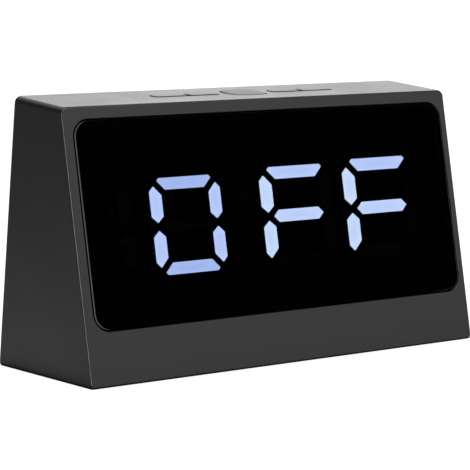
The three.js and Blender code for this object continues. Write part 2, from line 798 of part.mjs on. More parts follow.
// Battery door: a lid with a sprung tongue between two slits, grip ribs and two inner ribs
function batteryDoor() {
  const lidBack = -coverRecess - doorThickness;
  const top = trayHeight + trayHalfHeight + doorLedge - clearance;
  const lid = slab(trayOutline(doorLedge - clearance, doorRadius - clearance), lidBack, -coverRecess,
    keyEdge);
  const innerRibs = [-1, 1].map((side) => {
    const x = side * trayHalfWidth / 2;
    return slab(rectangle(x - doorRibWidth / 2, x + doorRibWidth / 2,
      trayHeight - trayHalfHeight + doorLedge, trayHeight + trayHalfHeight - tongueLength),
    lidBack - doorRibDepth, lidBack + keyEdge * 2);
  });
  const grips = Array.from({ length: gripRibs }, (_, k) => {
    const z = top - tongueLength / 2 + (k - (gripRibs - 1) / 2) * gripPitch;
    return slab(rectangle(-tongueWidth / 4, tongueWidth / 4, z - gripRib / 2, z + gripRib / 2),
      -coverRecess - keyEdge * 2, -coverRecess + keyEdge);
  });
  const slits = [-1, 1].map((side) => {
    const x = side * tongueWidth / 2;
    return slab(rectangle(x - slitWidth / 2, x + slitWidth / 2, top - tongueLength, top + overrun),
      lidBack - overrun, overrun);
  });
  return cut(joined(lid, ...innerRibs, ...grips), ...slits);
}

function batteryCell(index) {
  const side = cellSide(index);
  const can = prism(circle(cellCentre, cellHeight(index), cellDiameter / 2), -(cellLength - nubLength) / 2,
    (cellLength - nubLength) / 2);
  const crown = prism(circle(cellCentre, cellHeight(index), nubRadius, smallSides), -cellLength / 2
    + nubLength * (1 + side) / 2, cellLength / 2 - nubLength * (1 - side) / 2);
  return joined(moved(can, -side * nubLength / 2, 0, 0), crown);
}

// Which end of a cell its nub is on: 1 is right and -1 is left
function cellSide(index) {
  return index % 2 === 0 ? 1 : -1;
}

// Contact plate on one end wall of the tray: cone springs meet flat ends and bumps meet nubs
function contactPlate(side, cells) {
  const wallFace = trayHalfWidth - seatGap;
  const plateFace = wallFace - contactThickness;
  const half = contactWidth / 2;
  const low = Math.min(...cells.map(cellHeight)) - half;
  const high = Math.max(...cells.map(cellHeight)) + half;
  const leaf = prism(rectangle(cellCentre - half, cellCentre + half, low, high), plateFace, wallFace);
  const length = contactSpace - seatGap - contactThickness - clearance;
  const touches = cells.map((index) => {
    const bump = cellSide(index) === side;
    const cone = new THREE.CylinderGeometry(bump ? nubRadius : springTip, bump ? nubRadius : springBase,
      length + contactThickness / 2, smallSides);
    return cone.rotateZ(Math.PI / 2).translate(plateFace - length / 2 + contactThickness / 4, cellCentre,
      cellHeight(index));
  });
  const contact = joined(leaf, ...touches);
  return side > 0 ? contact : contact.rotateZ(Math.PI).translate(0, 2 * cellCentre, 0);
}

function sounder() {
  const face = coverInner - seatGap;
  return cut(slab(circle(sounderX, sounderHeight, sounderRadius), face - sounderLength, face),
    slab(circle(sounderX, sounderHeight, sounderPort, smallSides), face - sounderPort, face + overrun));
}

// Power inlet: a drawn metal mouth with a contact tongue inside
function powerInlet() {
  const mouth = -coverRecess - inletSet;
  const outline = (inset) => rectangle(inletX - inletWidth / 2 + inset, inletX + inletWidth / 2 - inset,
    inletHeight - inletTall / 2 + inset, inletHeight + inletTall / 2 - inset,
    (inletTall / 2 - inset) * (1 - inletShell / inletTall));
  const floor = mouth - inletLength + inletShell * 2;
  const tongue = slab(rectangle(inletX - inletTongueWidth / 2, inletX + inletTongueWidth / 2,
    inletHeight - inletTongueTall / 2, inletHeight + inletTongueTall / 2), floor - inletShell,
  floor + inletTongueLength);
  return joined(cut(slab(outline(0), mouth - inletLength, mouth), slab(outline(inletShell), floor,
    mouth + overrun)), tongue);
}

function powerBoard() {
  const back = coverInner - clearance;
  return slab(rectangle(inletX - powerBoardWidth / 2, inletX + powerBoardWidth / 2,
    powerBoardTop - boardThickness, powerBoardTop), back - powerBoardLength, back);
}

// Screw along y with its head outwards and a cross recess in the head
function screw({ head, headHeight, shank, length }) {
  const slot = head * driveShare;
  const arm = slot * driveArmShare;
  const arms = [rectangle(-slot, slot, -arm, arm), rectangle(-arm, arm, -slot, slot)];
  return cut(joined(slab(circle(0, 0, head, smallSides), 0, headHeight, headHeight * headEdgeShare),
    slab(circle(0, 0, shank, smallSides), -length, headHeight / 2)),
  ...arms.map((outline) => slab(outline, headHeight / 2, headHeight + overrun)));
}

// Flat cable along a smooth line through side-view points
function flatCable(points, x) {
  const line = new THREE.SplineCurve(points).getSpacedPoints(arcSteps * 3);
  const edge = (side) => line.map((p, i) => {
    const along = line[Math.min(i + 1, line.length - 1)].clone().sub(line[Math.max(i - 1, 0)]).normalize();
    return point(-along.y, along.x).multiplyScalar(side * cableThickness / 2).add(p);
  });
  return prism([...edge(-1), ...edge(1).reverse()], x - cableWidth / 2, x + cableWidth / 2);
}

function sidePoint(frame, y, z) {
  const spot = new THREE.Vector3(0, y, z).applyMatrix4(frame);
  return point(spot.y, spot.z);
}

function keyCable() {
  const landing = displayHeight + digitHeight / 2;
  const under = -keyBoardDrop - boardThickness - clearance;
  const bend = cableThickness * 3;
  return flatCable([sidePoint(frontFrame, boardBack + clearance, landing),
    sidePoint(frontFrame, boardBack + clearance + bend, landing),
    sidePoint(topFrame, keyRowCentre, under - bend), sidePoint(topFrame, keyRowCentre, under)], keyCableX);
}

function powerCable() {
  const landing = displayHeight - digitHeight / 2 - uprightWidth;
  const edgeY = coverInner - clearance - powerBoardLength - clearance;
  const boardMiddle = powerBoardTop - boardThickness / 2;
  const bend = cableThickness * 4;
  return flatCable([sidePoint(backFrame, edgeY, boardMiddle), sidePoint(backFrame, edgeY - bend, boardMiddle),
    sidePoint(frontFrame, boardBack + clearance + bend, landing),
    sidePoint(frontFrame, boardBack + clearance, landing)], inletX + powerCableShift);
}

// Finishes
function finish(color, roughness, metalness = 0) {
  return new THREE.MeshStandardMaterial({ color, roughness, metalness });
}

const finishes = {
  housing: finish(0x3d3e41, 0.5),
  lens: finish(0x020203, 0.05),
  black: finish(0x0c0c0d, 0.7),
  guide: finish(0xd5e0ff, 0.3),
  tape: finish(0x1a1a1c, 0.9),
  board: finish(0x1d4a33, 0.6),
  chip: finish(0x17181a, 0.5),
  steel: finish(0xb9bcc0, 0.35, 1),
  rubber: finish(0x161617, 0.85),
  cell: finish(0x8f9396, 0.4),
  cable: finish(0xc8c8c4, 0.6),
  sounder: finish(0x121213, 0.5),
};

// Assembly
function frameGroup(matrix) {
  const group = new THREE.Group();
  group.applyMatrix4(matrix);
  return group;
}

function addPiece(parent, name, geometry, material, place = [0, 0, 0]) {
  const mesh = new THREE.Mesh(geometry, material);
  mesh.name = name;
  mesh.position.set(...place);
  parent.add(mesh);
  return mesh;
}

function addFront(front) {
  addPiece(front, 'mirror_lens', mirrorLens(), finishes.lens);
  addPiece(front, 'lens_tape', lensTape(), finishes.tape);
  addPiece(front, 'display_carrier', displayCarrier(), finishes.black);
  Object.entries(allSegments()).forEach(([name, outlines]) => {
    addPiece(front, `${name}_guide`, lightGuide(outlines), finishes.guide);
  });
  addPiece(front, 'display_board', displayBoard(), finishes.board);
  addPiece(front, 'clock_chip', clockChip(), finishes.chip,
    [displayHalfWidth / 4, boardBack + seatGap, displayHeight]);
  displayScrewPlaces().forEach(([x, z], k) => addPiece(front, `display_screw_${k + 1}`, screw(boardScrew),
    finishes.steel, [x, boardBack + seatGap, z]));
  carrierScrewPlaces().forEach(([x, z], k) => addPiece(front, `carrier_screw_${k + 1}`,
    screw(carrierScrew), finishes.steel, [x, carrierBack + seatGap, z]));
}

function addTop(top) {
  Object.keys(keyOutlines()).forEach((name) => {
    addPiece(top, name, key(name), finishes.housing);
    addPiece(top, name.replace('key', 'switch'), keySwitch(), finishes.chip,
      [keyMiddle(name), keyRowCentre, -keyBoardDrop + seatGap]);
  });
  addPiece(top, 'key_board', keyBoard(), finishes.board);
  keyBoardPostPlaces().forEach(([x, y], k) => {
    const piece = addPiece(top, `key_board_screw_${k + 1}`, screw(boardScrew), finishes.steel,
      [x, y, -keyBoardDrop - boardThickness - seatGap]);
    piece.rotation.x = -Math.PI / 2;
  });
}

function addBack(back) {
  addPiece(back, 'battery_door', batteryDoor(), finishes.housing);
  Array.from({ length: cellCount }, (_, k) => addPiece(back, `battery_cell_${k + 1}`, batteryCell(k),
    finishes.cell));
  addPiece(back, 'contact_right_single', contactPlate(1, [0]), finishes.steel);
  addPiece(back, 'contact_right_double', contactPlate(1, [1, 2]), finishes.steel);
  addPiece(back, 'contact_left_double', contactPlate(-1, [0, 1]), finishes.steel);
  addPiece(back, 'contact_left_single', contactPlate(-1, [2]), finishes.steel);
  addPiece(back, 'sounder', sounder(), finishes.sounder);
  addPiece(back, 'power_inlet', powerInlet(), finishes.steel);
  addPiece(back, 'power_board', powerBoard(), finishes.board);
  const seat = -coverRecess - coverScrew.headHeight - clearance + seatGap;
  bossPlaces().forEach(([x, z], k) => addPiece(back, `cover_screw_${k + 1}`, screw(coverScrew),
    finishes.steel, [x, seat, z]));
}

function buildClock() {
  const clock = new THREE.Group();
  const front = frameGroup(frontFrame);
  const top = frameGroup(keyFrame);
  const back = frameGroup(backFrame);
  clock.add(front, top, back);
  addPiece(clock, 'housing_shell', housingShell(), finishes.housing);
  addPiece(clock, 'rear_cover', rearCover(), finishes.housing);
  feetPlaces().forEach(([x, y], k) => addPiece(clock, `foot_${k + 1}`, foot(), finishes.rubber, [x, y, 0]));
  addPiece(clock, 'key_cable', keyCable(), finishes.cable);
  addPiece(clock, 'power_cable', powerCable(), finishes.cable);
  addFront(front);
  addTop(top);
  addBack(back);
  return clock;
}

export default buildClock();
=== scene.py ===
"""Looks of the digital mirror alarm clock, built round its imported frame.

Metres, +Z up, and the clock faces -Y. Each sub-assembly is a class that holds its own sizes,
builds its meshes as arrays and dresses them.
"""

import json
import logging
import math
from dataclasses import dataclass
from enum import Enum
from typing import Sequence

import bmesh
import bpy
import numpy as np
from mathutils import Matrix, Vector


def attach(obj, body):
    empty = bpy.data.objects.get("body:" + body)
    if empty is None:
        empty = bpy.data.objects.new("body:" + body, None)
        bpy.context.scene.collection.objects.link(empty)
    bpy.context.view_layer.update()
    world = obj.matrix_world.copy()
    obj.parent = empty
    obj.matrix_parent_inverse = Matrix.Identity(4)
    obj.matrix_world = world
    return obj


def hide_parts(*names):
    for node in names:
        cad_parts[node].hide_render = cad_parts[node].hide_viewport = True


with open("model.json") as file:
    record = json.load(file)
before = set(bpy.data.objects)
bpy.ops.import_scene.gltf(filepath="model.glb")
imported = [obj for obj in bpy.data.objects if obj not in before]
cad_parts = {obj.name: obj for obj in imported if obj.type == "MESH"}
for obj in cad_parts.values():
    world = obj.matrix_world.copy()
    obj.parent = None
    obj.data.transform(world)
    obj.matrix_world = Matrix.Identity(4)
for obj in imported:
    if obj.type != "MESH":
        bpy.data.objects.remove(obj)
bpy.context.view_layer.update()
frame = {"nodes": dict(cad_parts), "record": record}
LOG = logging.getLogger("mirror_clock")

Points = np.ndarray
Spot = tuple[float, float, float]
Levels = Sequence[tuple[float, float]]
Object, Mesh, Material = bpy.types.Object, bpy.types.Mesh, bpy.types.Material
Node, Socket, Tree = bpy.types.Node, bpy.types.NodeSocket, bpy.types.NodeTree

SMOOTH_ANGLE = 32.0
RING_SHARES = (0.97, 0.9, 0.8, 0.65, 0.45, 0.2)


# Planes that the clock's faces lie in

@dataclass(frozen=True)
class Plane:
    """A tilted working plane: across runs along X, and the other two axes are tilted about X."""

    origin: Spot
    tilt: float = 0.0

    def at(self, across: Points | float, through: Points | float, up: Points | float) -> Points:
        """Turns local coordinates into points of the frame.

        Args:
            across: Distances along X.
            through: Distances along the plane's second axis.
            up: Distances along the plane's third axis.

        Returns:
            An array of points with one row for each place.
        """
        across, through, up = np.broadcast_arrays(across, through, up)
        cos, sin = math.cos(self.tilt), math.sin(self.tilt)
        local = np.stack([across, through * cos - up * sin, through * sin + up * cos], axis=-1)
        return local + np.array(self.origin)

    def draw(self, outline: Points, place: Points | float, along_up: bool = False) -> Points:
        """Puts an outline at a place along the plane's second axis, or along its third one.

        Args:
            outline: Rows of across and up, or of across and through where along_up is set.
            place: Distance along the axis that the outline doesn't use.
            along_up: Whether that is the third axis.

        Returns:
            The outline's points in the frame.
        """
        first, second = outline[..., 0], outline[..., 1]
        return self.at(first, second, place) if along_up else self.at(first, place, second)


@dataclass(frozen=True)
class ClockForm:
    """Driving sizes of the housing, and the planes of its front, top and back."""

    width: float = 0.150
    front_top: float = 0.0813
    top_rise: float = 0.0022
    top_depth: float = 0.0254
    front_lean: float = 0.0155
    back_lean: float = 0.011
    foot_proud: float = 0.0008
    wall: float = 0.0024
    front_wall: float = 0.004
    key_shift: float = 0.0015

    @property
    def half_width(self) -> float:
        """Half of the housing's width."""
        return self.width / 2

    @property
    def depth(self) -> float:
        """Depth of the housing at its foot."""
        return self.front_lean + self.top_depth + self.back_lean

    @property
    def back_top(self) -> float:
        """Height of the top's back edge over the housing's floor."""
        return self.front_top + self.top_rise

    @property
    def front_slant(self) -> float:
        """Length of the front face, measured up its slope."""
        return math.hypot(self.front_lean, self.front_top)

    @property
    def front(self) -> Plane:
        """Front face: through runs into the clock and up runs up the slope."""
        return Plane((0.0, -self.depth / 2, self.foot_proud),
                     -math.atan2(self.front_lean, self.front_top))

    @property
    def top(self) -> Plane:
        """Top face: through runs backwards and up runs out of the face."""
        return Plane((0.0, self.front_lean - self.depth / 2, self.foot_proud + self.front_top),
                     math.atan2(self.top_rise, self.top_depth))

    @property
    def keys(self) -> Plane:
        """Top face with its origin moved along X to the middle of the key row."""
        return Plane((self.key_shift, *self.top.origin[1:]), self.top.tilt)

    @property
    def back(self) -> Plane:
        """Back face: through runs out of the clock and up runs up the slope."""
        return Plane((0.0, self.depth / 2, self.foot_proud), math.atan2(self.back_lean, self.back_top))


FORM = ClockForm()


# Outlines: anticlockwise rows of two coordinates

def unit(rows: Points) -> Points:
    """Scales each row to length one."""
    return rows / np.linalg.norm(rows, axis=-1, keepdims=True)


def rounded(corners: Sequence[tuple[float, float]] | Points, radii: float | Sequence[float],
            steps: int = 8) -> Points:
    """Rounds the corners of a convex outline with arcs that touch both sides.

    Args:
        corners: Corner points, anticlockwise.
        radii: One radius for all corners, or one for each.
        steps: Number of chords in each arc.

    Returns:
        The outline, with steps + 1 points for each corner.
    """
    points = np.array(corners, float)
    radius = np.broadcast_to(np.asarray(radii, float), len(points))[:, None]
    back = unit(np.roll(points, 1, axis=0) - points)
    ahead = unit(np.roll(points, -1, axis=0) - points)
    half = np.arccos(np.clip((back * ahead).sum(1, keepdims=True), -1, 1)) / 2
    centre = points + unit(back + ahead) * radius / np.sin(half)
    spoke = points + back * radius / np.tan(half) - centre
    turn = (math.pi - 2 * half) * np.linspace(0, 1, steps + 1)
    cos, sin = np.cos(turn), np.sin(turn)
    x = centre[:, :1] + spoke[:, :1] * cos - spoke[:, 1:] * sin
    y = centre[:, 1:] + spoke[:, :1] * sin + spoke[:, 1:] * cos
    return np.stack([x, y], axis=-1).reshape(-1, 2)


def rounded_box(left: float, right: float, low: float, high: float,
                radii: float | Sequence[float], steps: int = 8) -> Points:
    """Gives a rectangle with round corners, which start at its lower left."""
    return rounded([(left, low), (right, low), (right, high), (left, high)], radii, steps)


def circle(x: float, y: float, radius: float, sides: int = 48) -> Points:
    """Gives a circle as an outline: centre plus radius times cosine and sine."""
    turn = np.linspace(0, 2 * math.pi, sides, endpoint=False)
    return np.stack([x + radius * np.cos(turn), y + radius * np.sin(turn)], axis=-1)


def grown(outline: Points, distance: float) -> Points:
    """Moves an outline outwards along its own normals.

    Args:
        outline: Anticlockwise outline.
        distance: How far each side moves, negative for inwards.

    Returns:
        The moved outline, with as many points. Each point moves along the mean of its two sides'
        normals, by the distance over the cosine of half the angle between them.
    """
    side = outline - np.roll(outline, 1, axis=0)
    normal = unit(np.stack([side[:, 1], -side[:, 0]], axis=-1))
    mean = unit(normal + np.roll(normal, -1, axis=0))
    return outline + mean * distance / (mean * normal).sum(1, keepdims=True)


def quarter(radius: float, steps: int = 5) -> list[tuple[float, float]]:
    """Gives a quarter round as pairs of depth and inset, from the face to the side."""
    turn = np.linspace(0, math.pi / 2, steps + 1)
    return list(zip(radius * (1 - np.cos(turn)), radius * (1 - np.sin(turn))))


def rim(top: float, radius: float) -> list[tuple[float, float]]:
    """Gives the levels of a bar's rounded upper end, from its side up to its face."""
    return [(top - depth, -inset) for depth, inset in reversed(quarter(radius))]


# Meshes

class Draft:
    """Gathers rings of points and caps, and makes one mesh of them."""

    def __init__(self) -> None:
        """Starts an empty draft."""
        self.points: list[Points] = []
        self.marks: list[Points] = []
        self.faces: list[list[int]] = []
        self.slots: list[int] = []

    def _take(self, points: Points, marks: Points | float) -> Points:
        """Adds points.

        Args:
            points: Array whose last axis holds three coordinates.
            marks: Value of each point, or one for all.

        Returns:
            The number of each point, as an array without that axis.
        """
        first = sum(map(len, self.points))
        self.points.append(points.reshape(-1, 3))
        numbers = first + np.arange(len(self.points[-1])).reshape(points.shape[:-1])
        self.marks.append(np.broadcast_to(marks, numbers.shape).reshape(-1))
        return numbers

    def _face(self, numbers: Points, slot: int) -> None:
        """Adds a block of faces, one in each row."""
        self.faces.extend(numbers.tolist())
        self.slots.extend([slot] * len(numbers))

    def loft(self, rings: Points, slot: int = 0, caps: tuple[bool, bool] = (True, True),
             marks: Points | float = 0.0) -> Points:
        """Joins closed rings, one after another, with four-sided faces.

        Args:
            rings: Array of rings by points by three coordinates.
            slot: Material slot of the faces.
            caps: Whether the first and the last ring are closed with a flat face.
            marks: Value of each point, as rings by points, or one for all.

        Returns:
            The point numbers of the last ring.
        """
        grid = self._take(rings, marks)
        low, high = grid[:-1], grid[1:]
        quads = np.stack([low, np.roll(low, -1, axis=1), np.roll(high, -1, axis=1), high], axis=-1)
        self._face(quads.reshape(-1, 4), slot)
        for wanted, cap in zip(caps, (grid[:1, ::-1], grid[-1:])):
            if wanted:
                self._face(cap, slot)
        return grid[-1]

    def dome(self, rings: Points, marks: Points, slot: int = 0) -> None:
        """Joins rings that shrink to a pole, and marks each point with a value.

        Args:
            rings: Array of rings by points by three coordinates, from the outside inwards.
            marks: Value of each point, as rings by points or rings by one.
            slot: Material slot of the faces.
        """
        last = self.loft(rings, slot, (False, False), marks)
        pole = self._take(rings[-1].mean(0)[None], marks[-1].mean())
        self._face(np.stack([last, np.roll(last, -1), np.full(len(last), pole)], axis=-1), slot)

    def build(self, name: str, smooth: float | None = SMOOTH_ANGLE) -> Object:
        """Makes the object, merges doubles and turns its faces outwards.

        Args:
            name: Name of the piece.
            smooth: Angle in degrees up to which neighbouring faces shade as one, or None.

        Returns:
            The new object, linked to the scene, with its place in its mesh.
        """
        mesh = bpy.data.meshes.new(name)
        mesh.from_pydata(np.concatenate(self.points), [], self.faces)
        mesh.polygons.foreach_set("material_index", self.slots)
        marks = np.concatenate(self.marks)
        if marks.any():
            mark(mesh, "glow", marks)
        clean(mesh)
        obj = bpy.data.objects.new(name, mesh)
        bpy.context.scene.collection.objects.link(obj)
        if smooth is not None:
            shade(obj, smooth)
        return obj


def mark(mesh: Mesh, name: str, values: Points) -> None:
    """Stores a value for each point of a mesh."""
    layer = mesh.attributes.new(name, "FLOAT", "POINT")
    layer.data.foreach_set("value", values.astype(np.float32))


def clean(mesh: Mesh, reach: float = 1e-7) -> None:
    """Merges points that lie together and turns the faces of a closed mesh outwards.

    Args:
        mesh: The mesh, which is changed in place.
        reach: Distance up to which points are merged.
    """
    work = bmesh.new()
    work.from_mesh(mesh)
    bmesh.ops.remove_doubles(work, verts=work.verts, dist=reach)
    bmesh.ops.recalc_face_normals(work, faces=work.faces)
    work.to_mesh(mesh)
    work.free()


def shade(obj: Object, degrees: float = SMOOTH_ANGLE) -> None:
    """Shades a piece smooth up to an angle, and lets its large faces stay flat.

    Args:
        obj: The piece.
        degrees: Angle up to which neighbouring faces shade as one.
    """
    obj.data.shade_smooth()
    obj.data.set_sharp_from_angle(angle=math.radians(degrees))
    weights = obj.modifiers.new("flat_faces", "WEIGHTED_NORMAL")
    weights.mode, weights.weight, weights.keep_sharp = "FACE_AREA", 100, True


class Cut(Enum):
    """How one solid is combined with another."""

    AWAY = "DIFFERENCE"
    JOIN = "UNION"


def combine(obj: Object, tools: Sequence[Object], how: Cut, reach: float = 1e-6) -> None:
    """Cuts or joins solids one after another, cleans the result and deletes the tools.

    Args:
        obj: The solid that stays, with its new mesh.
        tools: The solids that act on it.
        how: What each of them does.
        reach: Distance up to which points of the result are merged.
    """
    for tool in tools:
        step = obj.modifiers.new("step", "BOOLEAN")
        step.operation, step.solver, step.object = how.value, "MANIFOLD", tool
    bpy.context.view_layer.update()
    graph = bpy.context.evaluated_depsgraph_get()
    made = bpy.data.meshes.new_from_object(obj.evaluated_get(graph))
    obj.modifiers.clear()
    old, obj.data = obj.data, made
    made.name = obj.name
    bpy.data.meshes.remove(old)
    for tool in tools:
        bpy.data.objects.remove(tool)
    clean(made, reach)


def bar_rings(plane: Plane, outline: Points, levels: Levels, along_up: bool = False) -> Points:
    """Gives the rings of a loft through a plane, with a change of size at each level.

    Args:
        plane: Plane in which the outline lies.
        outline: Outline in the plane's across and up coordinates, or its across and through
            coordinates where along_up is set.
        levels: Pairs of place along the loft and growth of the outline there.
        along_up: Whether the loft runs along the plane's third axis.

    Returns:
        Array of levels by points by three coordinates.
    """
    return np.stack([plane.draw(grown(outline, growth) if growth else outline, place, along_up)
                     for place, growth in levels])


def bar(plane: Plane, outline: Points, levels: Levels, name: str = "tool",
        along_up: bool = False) -> Object:
    """Makes a closed solid of a loft.

    Args:
        plane: Plane in which the outline lies.
        outline: Outline in the plane, as bar_rings takes it.
        levels: Pairs of place along the loft and growth of the outline there.
        name: Name of the piece.
        along_up: Whether the loft runs along the plane's third axis.

    Returns:
        The solid.
    """
    draft = Draft()
    draft.loft(bar_rings(plane, outline, levels, along_up))
    return draft.build(name, None)


# Node trees

class Graph:
    """Short ways to add and join the nodes of one node tree."""

    def __init__(self, tree: Tree) -> None:
        """Keeps the tree and empties it."""
        self.tree = tree
        self.tree.nodes.clear()

    def add(self, kind: str, values: dict[str, object] | None = None, **settings: object) -> Node:
        """Adds a node.

        Args:
            kind: Type name of the node.
            values: Values of its inputs, by name.
            settings: Properties of the node itself.

        Returns:
            The new node.
        """
        node = self.tree.nodes.new(kind)
        for name, value in settings.items():
            setattr(node, name, value)
        for name, value in (values or {}).items():
            node.inputs[name].default_value = value
        return node

    def join(self, source: Socket, target: Socket) -> None:
        """Links an output to an input."""
        self.tree.links.new(source, target)

    def math(self, operation: str, first: Socket | float, second: Socket | float) -> Socket:
        """Adds a math node.

        Args:
            operation: Name of the operation.
            first: First number or socket.
            second: Second number or socket.

        Returns:
            The result's socket.
        """
        node = self.add("ShaderNodeMath", operation=operation)
        for place, value in enumerate((first, second)):
            if isinstance(value, Socket):
                self.join(value, node.inputs[place])
            else:
                node.inputs[place].default_value = value
        return node.outputs[0]

    def ramp(self, source: Socket, low: float, high: float, to_low: float = 0.0,
             to_high: float = 1.0) -> Socket:
        """Maps a range of values smoothly to another one.

        Args:
            source: Socket that gives the value.
            low: Start of its range.
            high: End of its range.
            to_low: Result at the start.
            to_high: Result at the end.

        Returns:
            The result's socket.
        """
        node = self.add("ShaderNodeMapRange", {"From Min": low, "From Max": high, "To Min": to_low,
                                               "To Max": to_high}, interpolation_type="SMOOTHSTEP")
        self.join(source, node.inputs["Value"])
        return node.outputs["Result"]

    def blend(self, share: Socket, low: Spot, high: Spot) -> Socket:
        """Mixes two colours.

        Args:
            share: Socket with the second colour's share.
            low: First colour.
            high: Second colour.

        Returns:
            The mixed colour's socket.
        """
        node = self.add("ShaderNodeMix", {"A": (*low, 1.0), "B": (*high, 1.0)}, data_type="RGBA")
        self.join(share, node.inputs["Factor"])
        return node.outputs["Result"]

    def noise(self, scale: Socket, values: dict[str, float], **stretch: Spot) -> Socket:
        """Adds a noise on Object coordinates.

        Args:
            scale: Socket that gives its scale.
            values: Values of its other inputs, by name.
            stretch: Rotation or Scale of a mapping before it, where it is turned or stretched.

        Returns:
            The noise's socket.
        """
        place = self.add("ShaderNodeTexCoord").outputs["Object"]
        if stretch:
            turn = self.add("ShaderNodeMapping", stretch)
            self.join(place, turn.inputs["Vector"])
            place = turn.outputs["Vector"]
        noise = self.add("ShaderNodeTexNoise", values)
        self.join(place, noise.inputs["Vector"])
        self.join(scale, noise.inputs["Scale"])
        return noise.outputs["Fac"]


def make_group(name: str, inputs: dict[str, float], outputs: Sequence[str]) -> tuple[Graph, Node, Node]:
    """Starts a shader node group with named number sockets.

    Args:
        name: Name of the group.
        inputs: Names of its inputs with their usual values.
        outputs: Names of its outputs.

    Returns:
        The group's graph, its input node and its output node.
    """
    graph = Graph(bpy.data.node_groups.new(name, "ShaderNodeTree"))
    sockets = graph.tree.interface
    for socket, value in inputs.items():
        made = sockets.new_socket(name=socket, in_out="INPUT", socket_type="NodeSocketFloat")
        made.default_value = value
    for socket in outputs:
        sockets.new_socket(name=socket, in_out="OUTPUT", socket_type="NodeSocketFloat")
    return graph, graph.add("NodeGroupInput"), graph.add("NodeGroupOutput")


class Effects:
    """Surface effects that several materials share, each a node group that is built once."""

    def __init__(self) -> None:
        """Builds the groups."""
        self.grain = self._grain()
        self.handling = self._handling()
        self.streaks = self._streaks()

    @staticmethod
    def _grain() -> Tree:
        """Spark-eroded mould texture: fine pits from one noise, whose depth a second one changes.

        Returns:
            The group's tree.
        """
        graph, source, sink = make_group("mould_grain", {"Scale": 3000.0, "Patch": 40.0},
                                         ("Height", "Tone"))
        fine = graph.noise(source.outputs["Scale"], {"Detail": 3.0, "Roughness": 0.6})
        patch = graph.noise(source.outputs["Patch"], {"Detail": 2.0, "Roughness": 0.5})
        height = graph.math("MULTIPLY", fine, graph.ramp(patch, 0.3, 0.7, 0.7, 1.0))
        graph.join(height, sink.inputs["Height"])
        graph.join(graph.ramp(height, 0.3, 0.62), sink.inputs["Tone"])
        return graph.tree

    @staticmethod
    def _handling() -> Tree:
        """Faint smears from handling: stretched soft noise, kept to a few patches.

        Returns:
            The group's tree.
        """
        graph, source, sink = make_group("handling", {"Scale": 24.0, "Amount": 1.0}, ("Mask",))
        smear = graph.noise(source.outputs["Scale"], {"Detail": 4.0, "Roughness": 0.55, "Distortion": 0.8},
                            Rotation=(0.3, 0.2, 0.5), Scale=(1.0, 1.0, 2.6))
        mask = graph.math("MULTIPLY", graph.ramp(smear, 0.45, 0.75), source.outputs["Amount"])
        graph.join(mask, sink.inputs["Mask"])
        return graph.tree

    @staticmethod
    def _streaks() -> Tree:
        """Drawn-metal streaks: noise that is stretched forty times along the piece.

        Returns:
            The group's tree.
        """
        graph, source, sink = make_group("streaks", {"Scale": 60.0}, ("Height", "Tone"))
        line = graph.noise(source.outputs["Scale"], {"Detail": 3.0, "Roughness": 0.7},
                           Scale=(1.0, 40.0, 40.0))
        graph.join(line, sink.inputs["Height"])
        graph.join(graph.ramp(line, 0.3, 0.7), sink.inputs["Tone"])
        return graph.tree


EFFECTS = Effects()


class Paint(Graph):
    """The node tree of one material, with its Principled shader joined to its output."""

    def __init__(self, name: str, values: dict[str, object]) -> None:
        """Makes the material.

        Args:
            name: Name of the material.
            values: Plain values of the shader's inputs, by name.
        """
        self.material = bpy.data.materials.new(name)
        self.material.use_nodes = True
        super().__init__(self.material.node_tree)
        self.shader = self.add("ShaderNodeBsdfPrincipled", values)
        output = self.add("ShaderNodeOutputMaterial")
        self.join(self.shader.outputs["BSDF"], output.inputs["Surface"])

    def drive(self, name: str, source: Socket) -> None:
        """Lets what changes over the surface drive an input of the shader."""
        self.join(source, self.shader.inputs[name])

    def effect(self, group: Tree, **values: float) -> Node:
        """Places an effect with its own values."""
        return self.add("ShaderNodeGroup", values, node_tree=group)

    def bump(self, height: Socket, strength: float, depth: float) -> None:
        """Lets a height drive the shader's normal.

        Args:
            height: Socket that gives the height.
            strength: Strength of the bump.
            depth: Depth in metres of a height of one.
        """
        bump = self.add("ShaderNodeBump", {"Strength": strength, "Distance": depth})
        self.join(height, bump.inputs["Height"])
        self.drive("Normal", bump.outputs["Normal"])


@dataclass(frozen=True)
class Moulded:
    """Moulded plastic or rubber with a fine spark-eroded grain and faint handling smears.

    On a piece with an edge attribute, the rounded edges are smoother by the burnish.
    """

    name: str
    low: Spot
    high: Spot
    rough_low: float
    rough_high: float
    grain: float = 3200.0
    depth: float = 0.00002
    level: float = 0.5
    burnish: float = 0.0
    smears: float = 0.35
    smear_gloss: float = 0.06
    relief: float = 0.35

    def material(self) -> Material:
        """Builds the material.

        Returns:
            The material, whose colour, roughness and bump follow the grain.
        """
        paint = Paint(self.name, {"Specular IOR Level": self.level})
        grain = paint.effect(EFFECTS.grain, Scale=self.grain)
        smears = paint.effect(EFFECTS.handling, Amount=self.smears)
        tone = grain.outputs["Tone"]
        paint.drive("Base Color", paint.blend(tone, self.low, self.high))
        rough = paint.ramp(tone, 0.0, 1.0, self.rough_high, self.rough_low)
        eased = paint.math("ADD", rough, paint.math("MULTIPLY", smears.outputs["Mask"], -self.smear_gloss))
        if self.burnish:
            edge = paint.add("ShaderNodeAttribute", attribute_name="edge")
            worn = paint.math("MULTIPLY", edge.outputs["Fac"], -self.burnish)
            eased = paint.math("ADD", eased, worn)
        paint.drive("Roughness", eased)
        paint.bump(grain.outputs["Height"], self.relief, self.depth)
        return paint.material


